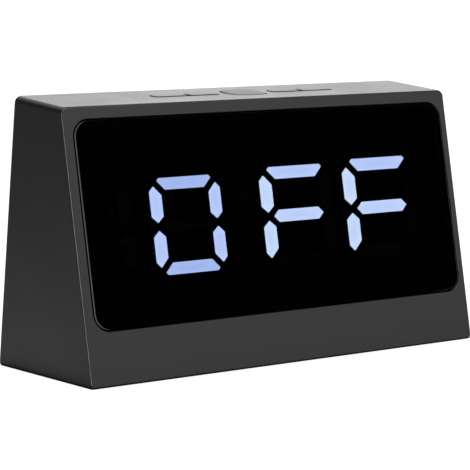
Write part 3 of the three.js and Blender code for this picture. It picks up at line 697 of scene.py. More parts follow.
@dataclass(frozen=True)
class Metal:
    """Plated or drawn metal with fine streaks."""

    name: str
    low: Spot = (0.42, 0.42, 0.41)
    high: Spot = (0.62, 0.62, 0.6)
    rough_low: float = 0.2
    rough_high: float = 0.36
    streak: float = 60.0
    relief: float = 0.1
    depth: float = 0.00001

    def material(self) -> Material:
        """Builds the material.

        Returns:
            The material, whose colour, roughness and bump follow the streaks.
        """
        paint = Paint(self.name, {"Metallic": 1.0})
        streaks = paint.effect(EFFECTS.streaks, Scale=self.streak)
        tone = streaks.outputs["Tone"]
        paint.drive("Base Color", paint.blend(tone, self.low, self.high))
        paint.drive("Roughness", paint.ramp(tone, 0.0, 1.0, self.rough_low, self.rough_high))
        paint.bump(streaks.outputs["Height"], self.relief, self.depth)
        return paint.material


@dataclass(frozen=True)
class HalfMirror:
    """Dark half-mirror acrylic: smoked, clear and glossy, with faint smears in its gloss."""

    name: str
    tint: Spot = (0.22, 0.22, 0.22)
    smear_tint: float = 0.97
    smear_scale: float = 30.0
    rough_clear: float = 0.004
    rough_smear: float = 0.02
    ior: float = 1.49

    def material(self) -> Material:
        """Builds the material.

        Returns:
            The material, with plain transmission and smears in its roughness and tint.
        """
        paint = Paint(self.name, {"Transmission Weight": 1.0, "IOR": self.ior})
        mask = paint.effect(EFFECTS.handling, Scale=self.smear_scale, Amount=1.0).outputs["Mask"]
        paint.drive("Roughness", paint.ramp(mask, 0.0, 1.0, self.rough_clear, self.rough_smear))
        smeared = tuple(self.smear_tint * part for part in self.tint)
        paint.drive("Base Color", paint.blend(mask, self.tint, smeared))
        return paint.material


@dataclass(frozen=True)
class Resin:
    """Smoked resin of an unlit segment, nearly as dark as the plate round it."""

    name: str
    low: Spot = (0.006, 0.006, 0.007)
    high: Spot = (0.009, 0.009, 0.01)
    rough: float = 0.6
    grain: float = 1800.0

    def paint(self) -> Paint:
        """Starts the material.

        Returns:
            Its node tree, with a faint grain in the colour.
        """
        paint = Paint(self.name, {"Roughness": self.rough})
        grain = paint.effect(EFFECTS.grain, Scale=self.grain)
        paint.drive("Base Color", paint.blend(grain.outputs["Tone"], self.low, self.high))
        return paint

    def material(self) -> Material:
        """Builds the material."""
        return self.paint().material


@dataclass(frozen=True)
class LitWindow(Resin):
    """Frosted print over a light-emitting chip, a little brighter along its rim than over the chip."""

    low: Spot = (0.55, 0.56, 0.58)
    high: Spot = (0.62, 0.63, 0.66)
    rough: float = 0.45
    middle: Spot = (1.0, 1.0, 1.0)
    power: float = 4.6
    gain: float = 1.07
    chip: float = 0.2

    def material(self) -> Material:
        """Builds the material.

        Returns:
            The material, whose glow attribute runs from 0 over the chip to 1 at the rim.
        """
        paint = self.paint()
        paint.shader.inputs["Emission Strength"].default_value = self.power
        glow = paint.add("ShaderNodeAttribute", attribute_name="glow")
        outer = tuple(min(1.0, self.gain * part) for part in self.middle)
        share = paint.ramp(glow.outputs["Fac"], self.chip, 1.0)
        paint.drive("Emission Color", paint.blend(share, self.middle, outer))
        return paint.material


# Finishes of this clock

class Finishes:
    """Every material of the clock, built once and found by its name.

    A slot of the record that has no material of its own name is listed in by_slot. The lit
    windows are listed from the brightest to the dimmest.
    """

    by_slot = {"mirror_panel": "half_mirror", "adhesive_tape": "foam_tape", "light_guide": "unlit_guide",
               "circuit_board": "solder_mask", "steel": "plated_steel", "battery_sleeve": "cell_sleeve"}
    lit_tones = {"lit_window_1": (0.54, 0.68, 0.97), "lit_window_2": (0.5, 0.63, 0.965),
                 "lit_window_3": (0.45, 0.58, 0.955), "lit_window_4": (0.355, 0.47, 0.84)}

    def __init__(self) -> None:
        """Builds the materials."""
        grey = (0.031, 0.031, 0.032), (0.038, 0.038, 0.039)
        looks = [
            Moulded("housing_plastic", *grey, 0.4, 0.47, burnish=0.2),
            Moulded("key_plastic", *grey, 0.42, 0.48),
            Moulded("snooze_plastic", *grey, 0.44, 0.5, level=0.32),
            Moulded("black_plastic", (0.003,) * 3, (0.005,) * 3, 0.7, 0.8, level=0.2),
            Moulded("component_plastic", (0.01, 0.01, 0.011), (0.016, 0.016, 0.017), 0.45, 0.55),
            Moulded("foot_rubber", (0.01,) * 3, (0.016,) * 3, 0.75, 0.88, grain=1600.0),
            Moulded("solder_mask", (0.012, 0.075, 0.035), (0.018, 0.1, 0.05), 0.35, 0.45, grain=900.0),
            Moulded("foam_tape", (0.012,) * 3, (0.02,) * 3, 0.85, 0.95, grain=900.0, depth=0.00006),
            Moulded("cell_sleeve", (0.26, 0.27, 0.29), (0.31, 0.32, 0.34), 0.25, 0.32, grain=500.0),
            Moulded("cable_sleeve", (0.5, 0.5, 0.47), (0.58, 0.58, 0.55), 0.5, 0.6, grain=700.0),
            Moulded("ground_rim", (0.28, 0.28, 0.285), (0.34, 0.34, 0.345), 0.5, 0.6, grain=2400.0),
            # Near-black: painted shade in the mirror's recess and on the mirror's rim deep in the gap, and
            # the display film's own black.
            Moulded("black_film_and_painted_recess_shade", (0.001,) * 3, (0.0016,) * 3, 0.8, 0.9, level=0.04),
            Metal("plated_steel"), HalfMirror("half_mirror"), Resin("unlit_guide"),
            *[LitWindow(name, middle=tone) for name, tone in self.lit_tones.items()]]
        self.materials = {look.name: look.material() for look in looks}

    def dress(self, obj: Object, *names: str) -> None:
        """Puts materials in an object's slots, in order.

        Args:
            obj: The piece or node.
            names: Names of the materials.
        """
        if obj.data.materials:
            obj.data.materials.clear()
        for name in names:
            obj.data.materials.append(self.materials[name])

    def settle(self, obj: Object, names: Sequence[str], body: str, slot: str, *nodes: str) -> None:
        """Dresses a piece, lets it ride on its body and hides the nodes that it stands for.

        Args:
            obj: The piece.
            names: Names of its materials, in the order of its slots.
            body: Body that it rides on.
            slot: The record's material slot of the piece; it is not used.
            nodes: Nodes that it replaces.
        """
        self.dress(obj, *names)
        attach(obj, body)
        if nodes:
            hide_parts(*nodes)
        LOG.info("%s rides on %s with %d faces", obj.name, body, len(obj.data.polygons))


# Sub-assemblies

@dataclass
class Housing:
    """The one-piece shell: leaning front with its window, top with the key slot, sides and floor."""

    finishes: Finishes
    top_side: float = 0.0022
    front_side: float = 0.0006
    back_side: float = 0.0008
    front_top: float = 0.0008
    back_top: float = 0.0008
    floor: float = 0.001
    window_side: float = 0.00287
    window_shift: float = 0.00042
    window_top: float = 0.0037
    window_bottom: float = 0.01625
    window_radius: float = 0.0056
    window_arc: int = 12
    ledge: float = 0.0024
    ledge_front: float = 0.0025
    lip: float = 0.00018
    window_lip: float = 0.00012
    reach: float = 0.001
    arc: int = 8
    station_digits: int = 7
    flat_turn: float = math.radians(4)
    round_turn: float = math.radians(16)
    touch: float = 1e-5

    def build(self) -> None:
        """Builds the shell from its skin, cavity, window, key openings and foot seats."""
        body = self._skin()
        cuts = [self._cavity(), self._window(), self._ledge(), *self._key_openings(), *self._foot_seats()]
        combine(body, cuts, Cut.AWAY)
        self._mark_edges(body.data)
        shade(body)
        # The second slot is painted shade: near-black for the mirror's recess.
        self.finishes.settle(body, ("housing_plastic", "black_film_and_painted_recess_shade"), "housing", "housing_plastic",
                             "housing_shell")
        self._paint_recess_shade(body.data)

    def _mark_edges(self, mesh: Mesh) -> None:
        """Marks rounded edges, where a point's normal is far from the normal of every flat face.

        Args:
            mesh: The shell's mesh. Its edge attribute runs from 0 on a flat to 1 on a round.
        """
        normals = np.empty(len(mesh.vertices) * 3, np.float32)
        mesh.vertex_normals.foreach_get("vector", normals)
        faces = (FORM.front, 1.0, 0.0), (FORM.back, 1.0, 0.0), (FORM.top, 0.0, 1.0)
        flat = [(1.0, 0.0, 0.0), (0.0, 0.0, 1.0),
                *[plane.at(0.0, through, up) - plane.origin for plane, through, up in faces]]
        nearest = np.abs(normals.reshape(-1, 3) @ np.array(flat).T).max(1)
        start, full = math.cos(self.flat_turn), math.cos(self.round_turn)
        mark(mesh, "edge", np.clip((start - nearest) / (start - full), 0, 1))

    def section(self, insets: Points) -> Points:
        """Gives the side section with each face moved inwards by its own amount.

        Args:
            insets: Array of stations by four insets, for the floor, back, top and front faces.

        Returns:
            Array of stations by four corners by two coordinates, depth and height, that start at
            the front foot and run anticlockwise. Each corner is where two moved faces meet.
        """
        half = FORM.depth / 2
        starts = np.array([(-half, 0.0), (half, 0.0), (half - FORM.back_lean, FORM.back_top),
                           (-half + FORM.front_lean, FORM.front_top)])
        along = unit(np.roll(starts, -1, axis=0) - starts)
        inward = np.stack([-along[:, 1], along[:, 0]], axis=-1)
        base = starts + insets[..., None] * inward
        before, heading = np.roll(base, 1, axis=-2), np.roll(along, 1, axis=0)
        apart = base - before
        cross = heading[:, 0] * along[:, 1] - heading[:, 1] * along[:, 0]
        scale = (apart[..., 0] * along[:, 1] - apart[..., 1] * along[:, 0]) / cross
        corners = before + scale[..., None] * heading
        return corners + np.array([0.0, FORM.foot_proud])

    @staticmethod
    def _stand(across: Points, rings: Points) -> Points:
        """Puts each ring of depth and height at its own place along X."""
        places = np.broadcast_to(across[:, None, None], (*rings.shape[:2], 1))
        return np.concatenate([places, rings], axis=-1)

    def _skin(self) -> Object:
        """Lofts the outside along X, with rings close together where an edge is round.

        Near each end, a face at distance s from it is inset by r minus the root of r squared
        minus (r - s) squared, which is a quarter round of that face's own radius r.

        Returns:
            The outside as a closed solid.
        """
        radii = np.array([self.floor, self.back_side, self.top_side, self.front_side])
        turn = np.linspace(0, math.pi / 2, self.arc + 1)
        places = np.concatenate([radius * (1 - np.sin(turn)) for radius in radii])
        steps = np.unique(np.round(places, self.station_digits))
        slack = np.clip(radii - steps[:, None], 0, None)
        insets = radii - np.sqrt(np.clip(radii ** 2 - slack ** 2, 0, None))
        corner_radii = [self.floor, self.floor, self.back_top, self.front_top]
        rings = np.stack([rounded(row, corner_radii, self.arc) for row in self.section(insets)])
        right = self._stand(FORM.half_width - steps, rings)
        left = right * np.array([-1.0, 1.0, 1.0])
        draft = Draft()
        draft.loft(np.concatenate([right, left[::-1]]))
        return draft.build("housing", None)

    def _cavity(self) -> Object:
        """Makes the room inside the shell, which runs out through the back.

        Returns:
            The room as a closed solid.
        """
        insets = np.array([[FORM.wall, -self.reach, FORM.wall, FORM.front_wall]] * 2)
        half = FORM.half_width - FORM.wall
        draft = Draft()
        draft.loft(self._stand(np.array([half, -half]), self.section(insets)))
        return draft.build("cavity", None)

    def window_outline(self, inset: float = 0.0) -> Points:
        """Gives the window's outline.

        Args:
            inset: How far it is moved inwards.

        Returns:
            The outline in the front face.
        """
        half = FORM.half_width - self.window_side - inset
        return rounded_box(self.window_shift - half, self.window_shift + half,
                           self.window_bottom + inset, FORM.front_slant - self.window_top - inset,
                           self.window_radius - inset, self.window_arc)

    def _window(self) -> Object:
        """Makes the recess of the mirror, with a small round lip at the face."""
        levels = [(-self.reach, self.window_lip), *quarter(self.window_lip), (self.ledge_front, 0.0)]
        return bar(FORM.front, self.window_outline(), levels)

    def _ledge(self) -> Object:
        """Makes the opening inside the ledge that the mirror is stuck to."""
        levels = [(-self.reach, 0.0), (FORM.front_wall + self.reach, 0.0)]
        return bar(FORM.front, self.window_outline(self.ledge), levels)

    def _paint_recess_shade(self, mesh: Mesh) -> None:
        """Puts the recess of the mirror, from under its lip to the ledge, in the second slot, whose
        near-black is painted shade.

        Args:
            mesh: The shell's mesh.
        """
        centres = np.empty(len(mesh.polygons) * 3, np.float32)
        mesh.polygons.foreach_get("center", centres)
        across, y, z = (centres.reshape(-1, 3) - np.array(FORM.front.origin)).T
        cos, sin = math.cos(FORM.front.tilt), math.sin(FORM.front.tilt)
        place = np.stack([across, z * cos - y * sin], axis=-1)
        depth = y * cos + z * sin
        window = self.window_outline()
        within = (place > window.min(0) - self.touch) & (place < window.max(0) + self.touch)
        inside = within.all(1) & (depth > self.window_lip) & (depth < FORM.front_wall)
        mesh.polygons.foreach_set("material_index", inside.astype(np.int32))

    def _key_openings(self) -> list[Object]:
        """Makes the openings of the two pairs of keys and of the snooze key, with round lips.

        Returns:
            The openings as closed solids.
        """
        levels = [(self.reach, self.lip), *[(-depth, inset) for depth, inset in quarter(self.lip)],
                  (-FORM.wall - self.reach, 0.0)]
        outlines = [Keys.pair_outline(Keys.slack), Keys.snooze_outline(Keys.slack)]
        outlines.append((outlines[0] * np.array([-1.0, 1.0]))[::-1])
        return [bar(FORM.keys, outline, levels, along_up=True) for outline in outlines]

    def _foot_seats(self) -> list[Object]:
        """Makes the round seats of the feet in the floor.

        Returns:
            The seats as closed solids.
        """
        flat = Plane((0.0, 0.0, FORM.foot_proud))
        levels = [(-self.reach, 0.0), (Feet.seat, 0.0)]
        return [bar(flat, circle(x, y, Feet.radius + Feet.slack), levels, along_up=True)
                for x, y in Feet.places()]


@dataclass
class Keys:
    """Five keys in the top: a larger oval snooze key and a pair of oblong ones on each side."""

    finishes: Finishes
    proud: float = 0.0002
    edge: float = 0.00015
    corner: float = 0.0014
    slack: float = 0.0003
    gap: float = 0.0009
    bridge: float = 0.0035
    split: float = 0.0221
    half_length: float = 0.0351
    half_depth: float = 0.00205
    centre: float = FORM.top_depth / 2
    flange: float = 0.001
    flange_reach: float = 0.0012
    stem: float = 0.0018
    stem_low: float = 0.00665
    snooze_half_width: float = 0.007
    snooze_half_depth: float = 0.0053
    snooze_power: float = 3.4
    snooze_sides: int = 120
    snooze_proud: float = 0.00018
    snooze_lean: float = 0.00012
    snooze_crown: float = 0.0001

    def build(self) -> None:
        """Builds the five keys and lets each ride on its own body."""
        inner = self.snooze_half_width + self.bridge, self.split - self.gap / 2
        outer = self.split + self.gap / 2, self.half_length
        self._key("left_outer_key", -outer[1], -outer[0])
        self._key("left_inner_key", -inner[1], -inner[0])
        self._key("snooze_key", -self.snooze_half_width, self.snooze_half_width)
        self._key("right_inner_key", *inner)
        self._key("right_outer_key", *outer)

    @classmethod
    def pair_outline(cls, grow: float) -> Points:
        """Gives the outline round the right pair of keys.

        Args:
            grow: Distance by which it is grown.

        Returns:
            The outline in the top face.
        """
        return rounded_box(cls.snooze_half_width + cls.bridge - grow, cls.half_length + grow,
                           cls.centre - cls.half_depth - grow, cls.centre + cls.half_depth + grow,
                           cls.corner + grow)

    @classmethod
    def snooze_outline(cls, grow: float = 0.0) -> Points:
        """Gives the snooze key's outline, a superellipse of power snooze_power.

        Args:
            grow: Distance by which its half sizes grow.

        Returns:
            Each half size times the sign of the cosine or sine, times its amount to the power of
            two over snooze_power.
        """
        turn = np.linspace(0, 2 * math.pi, cls.snooze_sides, endpoint=False)
        circle_part = np.stack([np.cos(turn), np.sin(turn)], axis=-1)
        half = np.array([cls.snooze_half_width + grow, cls.snooze_half_depth + grow])
        bent = np.sign(circle_part) * np.abs(circle_part) ** (2 / cls.snooze_power)
        return half * bent + np.array([0.0, cls.centre])

    def _snooze_cap(self, cap_low: float) -> Object:
        """Builds the snooze key's cap, whose top is slightly domed and leans to the front.

        The height at share s of the outline is the rim's, plus the crown times one less s squared,
        plus the lean times the place between the front, -1, and the back, 1.

        Args:
            cap_low: Height of the cap's underside over the top face.

        Returns:
            The cap as a closed solid.
        """
        outline = self.snooze_outline()
        middle = np.array([0.0, self.centre])
        side = [(grown(outline, growth), height) for height, growth in rim(self.snooze_proud, self.edge)]
        dome = [(middle + (side[-1][0] - middle) * share,
                 self.snooze_proud + self.snooze_crown * (1 - share ** 2)) for share in RING_SHARES]
        rings = [FORM.keys.draw(outline, cap_low, True)]
        for ring, height in side + dome:
            lean = self.snooze_lean * (ring[:, 1] - self.centre) / self.snooze_half_depth
            rings.append(FORM.keys.draw(ring, height + lean, True))
        draft = Draft()
        draft.loft(np.stack(rings[:len(side) + 1]), caps=(True, False))
        draft.dome(np.stack(rings[len(side):]), np.zeros((1, 1)))
        return draft.build("snooze_key_cap", None)

    def _key(self, name: str, left: float, right: float) -> None:
        """Builds one key: cap with a rounded edge, flange under the wall and stem.

        Args:
            name: Name of the key's node and body.
            left: Its left end, from the middle of the row.
            right: Its right end.
        """
        low = -FORM.wall - self.slack - self.flange
        snooze = name == "snooze_key"
        half = self.snooze_half_depth if snooze else self.half_depth
        front, back = self.centre - half, self.centre + half
        if snooze:
            cap = self._snooze_cap(low)
        else:
            cap = bar(FORM.keys, rounded_box(left, right, front, back, self.corner),
                      [(low, 0.0), *rim(self.proud, self.edge)], name.replace("key", "key_cap"), True)
        skirt = rounded_box(left, right, front - self.flange_reach, back + self.flange_reach,
                            self.corner / 2)
        flange = bar(FORM.keys, skirt, [(low, 0.0), (low + self.flange, 0.0)], along_up=True)
        stem = bar(FORM.keys, circle((left + right) / 2, self.centre, self.stem),
                   [(-self.stem_low, 0.0), (low + self.flange / 2, 0.0)], along_up=True)
        combine(cap, [flange, stem], Cut.JOIN)
        shade(cap)
        look = "snooze_plastic" if snooze else "key_plastic"
        self.finishes.settle(cap, (look,), name, "key_plastic", name)


@dataclass
class Mirror:
    """The half mirror: an acrylic plate with a ground rim, stuck to the shell's ledge."""

    finishes: Finishes
    housing: Housing
    gap: float = 0.00065
    proud: float = 0.00035
    clear: float = 0.0003
    back: float = 0.0018
    edge: float = 0.00004
    smooth: float = 30.0

    def build(self) -> None:
        """Lofts the rim, clear near the face and painted near-black below as shade in the gap, and closes
        it with the faces.
        """
        levels = [(-self.proud, -self.edge), (self.edge - self.proud, 0.0), (self.clear, 0.0),
                  (self.back, 0.0)]
        rings = bar_rings(FORM.front, self.housing.window_outline(self.gap), levels)
        draft = Draft()
        draft.loft(rings[:2], caps=(True, False))
        draft.loft(rings[1:3], 1, caps=(False, False))
        draft.loft(rings[2:], 2, caps=(False, False))
        draft.loft(rings[-1:], caps=(False, True))
        plate = draft.build("mirror_plate", self.smooth)
        # The third slot is painted shade: near-black on the rim deep in the gap.
        self.finishes.settle(plate, ("half_mirror", "ground_rim", "black_film_and_painted_recess_shade"), "housing",
                             "mirror_panel", "mirror_lens")


RING_LIGHTS = dict(zip("abcdef", (3, 2, 2, 3, 2, 2)))
F_LIGHTS = dict(zip("aefg", (2, 0, 0, 1)))


@dataclass(frozen=True)
class Character:
    """One digit: its place, the size of its printed windows, and the light of each lit segment.

    Its segments are named by letters, clockwise from the top, then the middle bar. A light is a
    place in Finishes.lit_tones, from 0, the brightest, to 3.
    """

    name: str
    x: float
    lights: dict[str, int]
    wide: float = 1.0
    high: float = 1.0
    shift: float = 0.0
    lift: float = 0.0
    segments: str = "abcdefg"


@dataclass
class Display:
    """Light guides in their wells, and the black film before them with the printed windows.

    The readout is the clock's switched-off state.
    """

    finishes: Finishes
    digit_width: float = 0.02832
    digit_height: float = 0.03071
    centre_height: float = 0.04611
    upright: float = 0.0047
    crossbar: float = 0.00381
    corner: float = 0.0042
    mitre: float = 0.0023
    waist: float = 0.00246
    tip_share: float = 0.85
    well_share: float = 0.62
    colon_dot: float = 0.00399
    colon_spread: float = 0.00657
    dot_sides: int = 32
    face: float = 0.0023
    web: float = 0.0095
    web_thickness: float = 0.0006
    soft_corner: float = 0.00018
    soft_steps: int = 4
    film: tuple[float, float] = (0.00194, 0.00208)
    film_half_width: float = 0.0592
    film_margin: float = 0.0012
    print_face: float = 0.00191
    characters: tuple[Character, ...] = (
        Character("half_digit", -0.06766, {}, segments="bc"),
        Character("hour_digit", -0.0331, RING_LIGHTS, 0.929, 0.951, -0.00022, -0.00045),
        Character("minute_tens_digit", 0.00962, F_LIGHTS, 1.014, 1.0, -0.00016, -0.00022),
        Character("minute_units_digit", 0.04404, F_LIGHTS, 1.07, 1.035, -0.00028))

    def build(self) -> None:
        """Builds the film, and the guide and the printed windows of each digit and the colon."""
        self._film()
        outlines = self.segments()
        for one in self.characters:
            shapes = {key: outlines[key] for key in one.segments}
            place, size = np.array([one.x, 0.0]), np.array([one.wide, one.high])
            self._guide(one.name, [shape + place for shape in shapes.values()])
            place = place + np.array([one.shift, one.lift])
            prints = {key: shape * size + place for key, shape in shapes.items()}
            self._windows(one.name, prints, one.lights)
        middle = (self.characters[1].x + self.characters[2].x) / 2
        dots = [circle(middle, side * self.colon_spread, self.colon_dot / 2, self.dot_sides)
                for side in (-1, 1)]
        self._guide("colon", dots)
        self._windows("colon", dict(enumerate(dots)), {})

    def _film(self) -> None:
        """Builds the black film that lies before the wells."""
        high = self.digit_height / 2 + self.film_margin
        outline = rounded_box(-self.film_half_width, self.film_half_width, self.centre_height - high,
                              self.centre_height + high, self.film_margin)
        film = bar(FORM.front, outline, [(depth, 0.0) for depth in self.film], "display_film")
        shade(film)
        self.finishes.settle(film, ("black_film_and_painted_recess_shade",), "housing", "black_plastic")

    def segments(self) -> dict[str, Points]:
        """Works the seven outlines out from one upright and one crossbar.

        Returns:
            Outlines about the digit's centre, by segment letter. The upright and the crossbar meet
            in mitres that are a gap apart, and both are cut off by the digit's chamfered corner.
            An outline that is mirrored once is turned round, so that it stays anticlockwise.
        """
        across, up = self.digit_width / 2, self.digit_height / 2
        slip = self.upright - self.crossbar
        half = self.mitre / math.sqrt(2)
        tip_a = (self.corner - slip - half) / 2
        tip_f = (self.corner + slip - half) / 2
        roof = np.array([(-across + self.corner - tip_a, up - tip_a),
                         (-across + self.upright + half, up - self.crossbar),
                         (across - self.upright - half, up - self.crossbar),
                         (across - self.corner + tip_a, up - tip_a), (across - self.corner, up),
                         (-across + self.corner, up)])
        waist = self.waist / 2
        slope = self.tip_share * self.upright / 2
        upright = np.array([(-across, waist + slope), (-across + self.upright / 2, waist),
                            (-across + self.upright, waist + slope),
                            (-across + self.upright, up - self.crossbar - half),
                            (-across + tip_f, up - self.corner + tip_f), (-across, up - self.corner)])
        thick, tip = self.crossbar / 2, across - self.crossbar - waist / 2
        middle = np.array([(-tip, 0.0), (-tip + thick, -thick), (tip - thick, -thick), (tip, 0.0),
                           (tip - thick, thick), (-tip + thick, thick)])
        flips = {"a": (roof, 1, 1), "b": (upright, -1, 1), "c": (upright, -1, -1), "d": (roof, 1, -1),
                 "e": (upright, 1, -1), "f": (upright, 1, 1), "g": (middle, 1, 1)}
        return {key: (shape * np.array([x, y], float))[::x * y] for key, (shape, x, y) in flips.items()}

    def _placed(self, shape: Points) -> Points:
        """Lifts an outline to the display's height and rounds a segment's six corners."""
        soft = rounded(shape, self.soft_corner, self.soft_steps) if len(shape) == 6 else shape
        return soft + np.array([0.0, self.centre_height])

    def _guide(self, name: str, shapes: Sequence[Points]) -> None:
        """Builds the guide of one digit: tapered resin plugs on a thin web.

        Args:
            name: Name of the digit.
            shapes: Outlines of its segments about the display's centre line.
        """
        draft = Draft()
        for shape in shapes:
            outline = self._placed(shape)
            middle = outline.mean(0)
            far = middle + (outline - middle) * self.well_share
            draft.loft(np.stack([FORM.front.draw(outline, self.face),
                                 FORM.front.draw(far, self.web + self.web_thickness / 2)]))
        every = np.concatenate(shapes) + np.array([0.0, self.centre_height])
        (left, low), (right, high) = every.min(0), every.max(0)
        web = rounded_box(left, right, low, high, self.crossbar / 2)
        draft.loft(bar_rings(FORM.front, web, [(self.web, 0.0), (self.web + self.web_thickness, 0.0)]))
        self.finishes.settle(draft.build(f"{name}_light_guide"), ("unlit_guide",), "housing",
                             "light_guide", f"{name}_guide")

    def _windows(self, name: str, shapes: dict[object, Points], lights: dict[str, int]) -> None:
        """Prints the windows of one digit on the film, each a thin plate of shrinking rings.

        A ring is the outline drawn in about its middle by a share. The mark on each point is that
        share, so it runs from 1 at the rim to 0.2 over the chip. There is a slot for each light
        and one for the windows that stay dark.

        Args:
            name: Name of the digit.
            shapes: Outlines of its segments about the display's centre line, by letter.
            lights: The light of each lit segment, by letter.
        """
        draft = Draft()
        shares = np.array((1.0, *RING_SHARES))[:, None]
        lit = self.finishes.lit_tones
        for key, shape in shapes.items():
            outline = self._placed(shape)
            middle = outline.mean(0)
            slot = lights.get(key, len(lit))
            rows = middle + (outline - middle)[None] * shares[..., None]
            draft.dome(FORM.front.draw(rows, self.print_face), shares, slot)
            draft.loft(bar_rings(FORM.front, outline, [(self.print_face, 0.0), (self.film[0], 0.0)]),
                       slot, caps=(False, True))
        self.finishes.settle(draft.build(f"{name}_windows"), (*lit, "unlit_guide"), "housing",
                             "light_guide")


@dataclass
class Feet:
    """Four round rubber feet in seats of the floor."""

    finishes: Finishes
    bevel: float = 0.0003
    radius: float = 0.0045
    slack: float = 0.0003
    seat: float = 0.001
    clear: float = 0.0002
    inset: float = 0.0105

    @classmethod
    def places(cls) -> list[tuple[float, float]]:
        """Gives the centres of the feet, front pair first."""
        x, y = FORM.half_width - cls.inset, FORM.depth / 2 - cls.inset
        return [(-x, -y), (x, -y), (-x, y), (x, y)]

    def build(self) -> None:
        """Builds the four feet, each a disc with rounded rims."""
        flat = Plane((0.0, 0.0, 0.0))
        levels = [(depth, -inset) for depth, inset in quarter(self.bevel)]
        levels += rim(FORM.foot_proud + self.seat - self.clear, self.bevel)
        for number, (x, y) in enumerate(self.places(), 1):
            draft = Draft()
            draft.loft(bar_rings(flat, circle(x, y, self.radius), levels, along_up=True))
            self.finishes.settle(draft.build(f"rubber_foot_{number}"), ("foot_rubber",), "housing",
                                 "foot_rubber", f"foot_{number}")


@dataclass
class FrameNodes:
    """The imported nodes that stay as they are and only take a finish."""

    finishes: Finishes

    def build(self) -> None:
        """Gives each node the material of its slot."""
        for part in frame["record"]["subparts"]:
            node, slot = frame["nodes"][part["node"]], part["material_slot"]
            self.finishes.dress(node, self.finishes.by_slot.get(slot, slot))


# Studio

@dataclass(frozen=True)
class Sheet:
    """A flat sheet of the studio between two corners, whose places differ along two axes.

    Its glow is the light that it gives off, none for a black one. One that isn't seen is hidden
    from the camera, straight and through clear pieces.
    """

    name: str
    low: Spot
    high: Spot
    glow: float = 0.0
    tone: float = 0.0
    seen: bool = False
    rough: float = 0.9

    def build(self) -> None:
        """Builds the sheet with its own material, its corners in order round it."""
        low, high = np.array(self.low), np.array(self.high)
        first, second = np.flatnonzero(low != high)
        corners = np.tile(low, (4, 1))
        corners[1:3, first] = high[first]
        corners[2:, second] = high[second]
        draft = Draft()
        draft.loft(corners[None], caps=(False, True))
        sheet = draft.build(self.name, None)
        paint = Paint(f"{self.name}_card", {
            "Base Color": (self.tone, self.tone, self.tone, 1.0), "Roughness": self.rough,
            "Specular IOR Level": 0.0, "Emission Color": (1.0, 1.0, 1.0, 1.0),
            "Emission Strength": self.glow})
        sheet.data.materials.append(paint.material)
        sheet.visible_camera = sheet.visible_transmission = self.seen


@dataclass(frozen=True)
class Glow:
    """A soft patch of light in the surroundings, round one direction."""

    name: str
    toward: Spot
    outer: float
    inner: float
    strength: float

    def add_to(self, graph: Graph, direction: Socket) -> Socket:
        """Adds the patch to the world's graph.

        Args:
            graph: The world's graph.
            direction: Socket with the direction that is looked in.

        Returns:
            The patch's strength, which grows smoothly from none at the outer angle's cosine to
            full at the inner angle's.
        """
        axis = graph.add("ShaderNodeVectorMath", operation="DOT_PRODUCT", label=self.name)
        axis.inputs[1].default_value = Vector(self.toward).normalized()
        graph.join(direction, axis.inputs[0])
        return graph.ramp(axis.outputs["Value"], math.cos(self.outer), math.cos(self.inner), 0.0,
                          self.strength)


@dataclass(frozen=True)
class SoftBox:
    """A soft light of a width and a height that looks at the middle of the clock."""

    name: str
    place: Spot
    size: tuple[float, float]
    power: float
    aim: Spot = (0.0, 0.0, 0.04)

    def build(self) -> None:
        """Hangs the light, out of the camera's sight."""
        data = bpy.data.lights.new(self.name, "AREA")
        data.shape = "RECTANGLE"
        data.size, data.size_y = self.size
        data.energy = self.power
        light = bpy.data.objects.new(self.name, data)
        light.location = self.place
        light.visible_camera = False
        light.rotation_mode = "QUATERNION"
        light.rotation_quaternion = (Vector(self.aim) - Vector(self.place)).to_track_quat("-Z", "Y")
        bpy.context.scene.collection.objects.link(light)


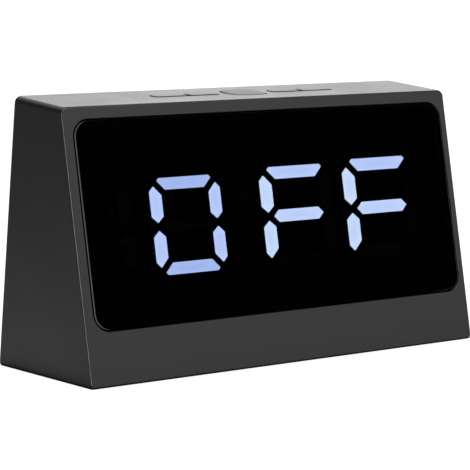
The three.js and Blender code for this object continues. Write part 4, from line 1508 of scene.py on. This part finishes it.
@dataclass
class Studio:
    """White floor, soft lights, hidden sheets and the camera at the photograph's angle.

    The side, far and front sheets lie on the floor and dim it for the clock's left side and
    bezel. The side flag stands at the left and keeps the side dark, and the under card keeps the
    floor's light off the bottom edges.
    """

    azimuth: float = math.radians(-37.244)
    elevation: float = math.radians(6.908)
    place: Spot = (-0.425878, -0.555808, 0.123057)
    lens: float = 170.66
    sensor: float = 36.0
    clip: tuple[float, float] = (0.01, 50.0)
    ambient: float = 0.003
    sheets: tuple[Sheet, ...] = (
        Sheet("floor", (-15.0, -15.0, 0.0), (15.0, 15.0, 0.0), 1.0, 0.3, True),
        Sheet("side_sheet", (-0.16, -0.6, 0.0004), (-0.078, 0.9, 0.0004), 0.49),
        Sheet("far_sheet", (-0.32, -0.6, 0.0004), (-0.16, 0.9, 0.0004), 0.26),
        Sheet("front_sheet", (-0.078, -0.15, 0.0004), (0.25, -0.0275, 0.0004), 0.66),
        Sheet("side_flag", (-0.32, -0.12, 0.0), (-0.32, 0.9, 0.7)),
        Sheet("under_card", (-0.079, -0.0272, 0.00055), (0.0762, 0.03, 0.00055)))
    glows: tuple[Glow, ...] = (Glow("behind", (0.81, 0.53, 0.295), 0.72, 0.3, 3.07),
                               Glow("aloft", (0.2, 0.79, 0.58), 0.65, 0.15, 0.75),
                               Glow("overhead", (0.1, -0.2, 1.0), 0.7, 0.3, 0.35))
    boxes: tuple[SoftBox, ...] = (SoftBox("front_box", (0.2, -0.9, 1.3), (1.0, 1.0), 15.3),
                                  SoftBox("edge_strip", (-1.0, -1.05, 0.28), (0.3, 0.38), 5.3))

    def build(self) -> None:
        """Sets up camera, sheets, world and lights."""
        self._camera()
        self._world()
        for part in (*self.sheets, *self.boxes):
            part.build()
        bpy.context.scene.view_settings.view_transform = "Standard"

    def _camera(self) -> None:
        """Places the camera and makes it the scene's."""
        data = bpy.data.cameras.new("camera")
        data.sensor_width, data.lens = self.sensor, self.lens
        data.clip_start, data.clip_end = self.clip
        camera = bpy.data.objects.new("camera", data)
        bpy.context.scene.collection.objects.link(camera)
        cos = math.cos(self.elevation)
        ahead = Vector((-math.sin(self.azimuth) * cos, math.cos(self.azimuth) * cos,
                        -math.sin(self.elevation)))
        camera.location = self.place
        camera.rotation_mode = "QUATERNION"
        camera.rotation_quaternion = ahead.to_track_quat("-Z", "Y")
        bpy.context.scene.camera = camera

    def _world(self) -> None:
        """Lights the scene from all round: bright behind and above the clock, dark before it."""
        world = bpy.data.worlds.new("studio")
        bpy.context.scene.world = world
        world.use_nodes = True
        graph = Graph(world.node_tree)
        place = graph.add("ShaderNodeTexCoord")
        total: Socket | float = self.ambient
        for glow in self.glows:
            total = graph.math("ADD", glow.add_to(graph, place.outputs["Generated"]), total)
        rays = graph.add("ShaderNodeLightPath")
        seen = graph.math("MAXIMUM", total, rays.outputs["Is Camera Ray"])
        background = graph.add("ShaderNodeBackground")
        output = graph.add("ShaderNodeOutputWorld")
        graph.join(seen, background.inputs["Strength"])
        graph.join(background.outputs["Background"], output.inputs["Surface"])


def main() -> None:
    """Builds the clock piece by piece."""
    logging.basicConfig(level=logging.INFO, format="%(name)s: %(message)s")
    Studio().build()
    finishes = Finishes()
    housing = Housing(finishes)
    housing.build()
    Keys(finishes).build()
    Mirror(finishes, housing).build()
    Display(finishes).build()
    Feet(finishes).build()
    FrameNodes(finishes).build()


if __name__ == "__main__":
    main()
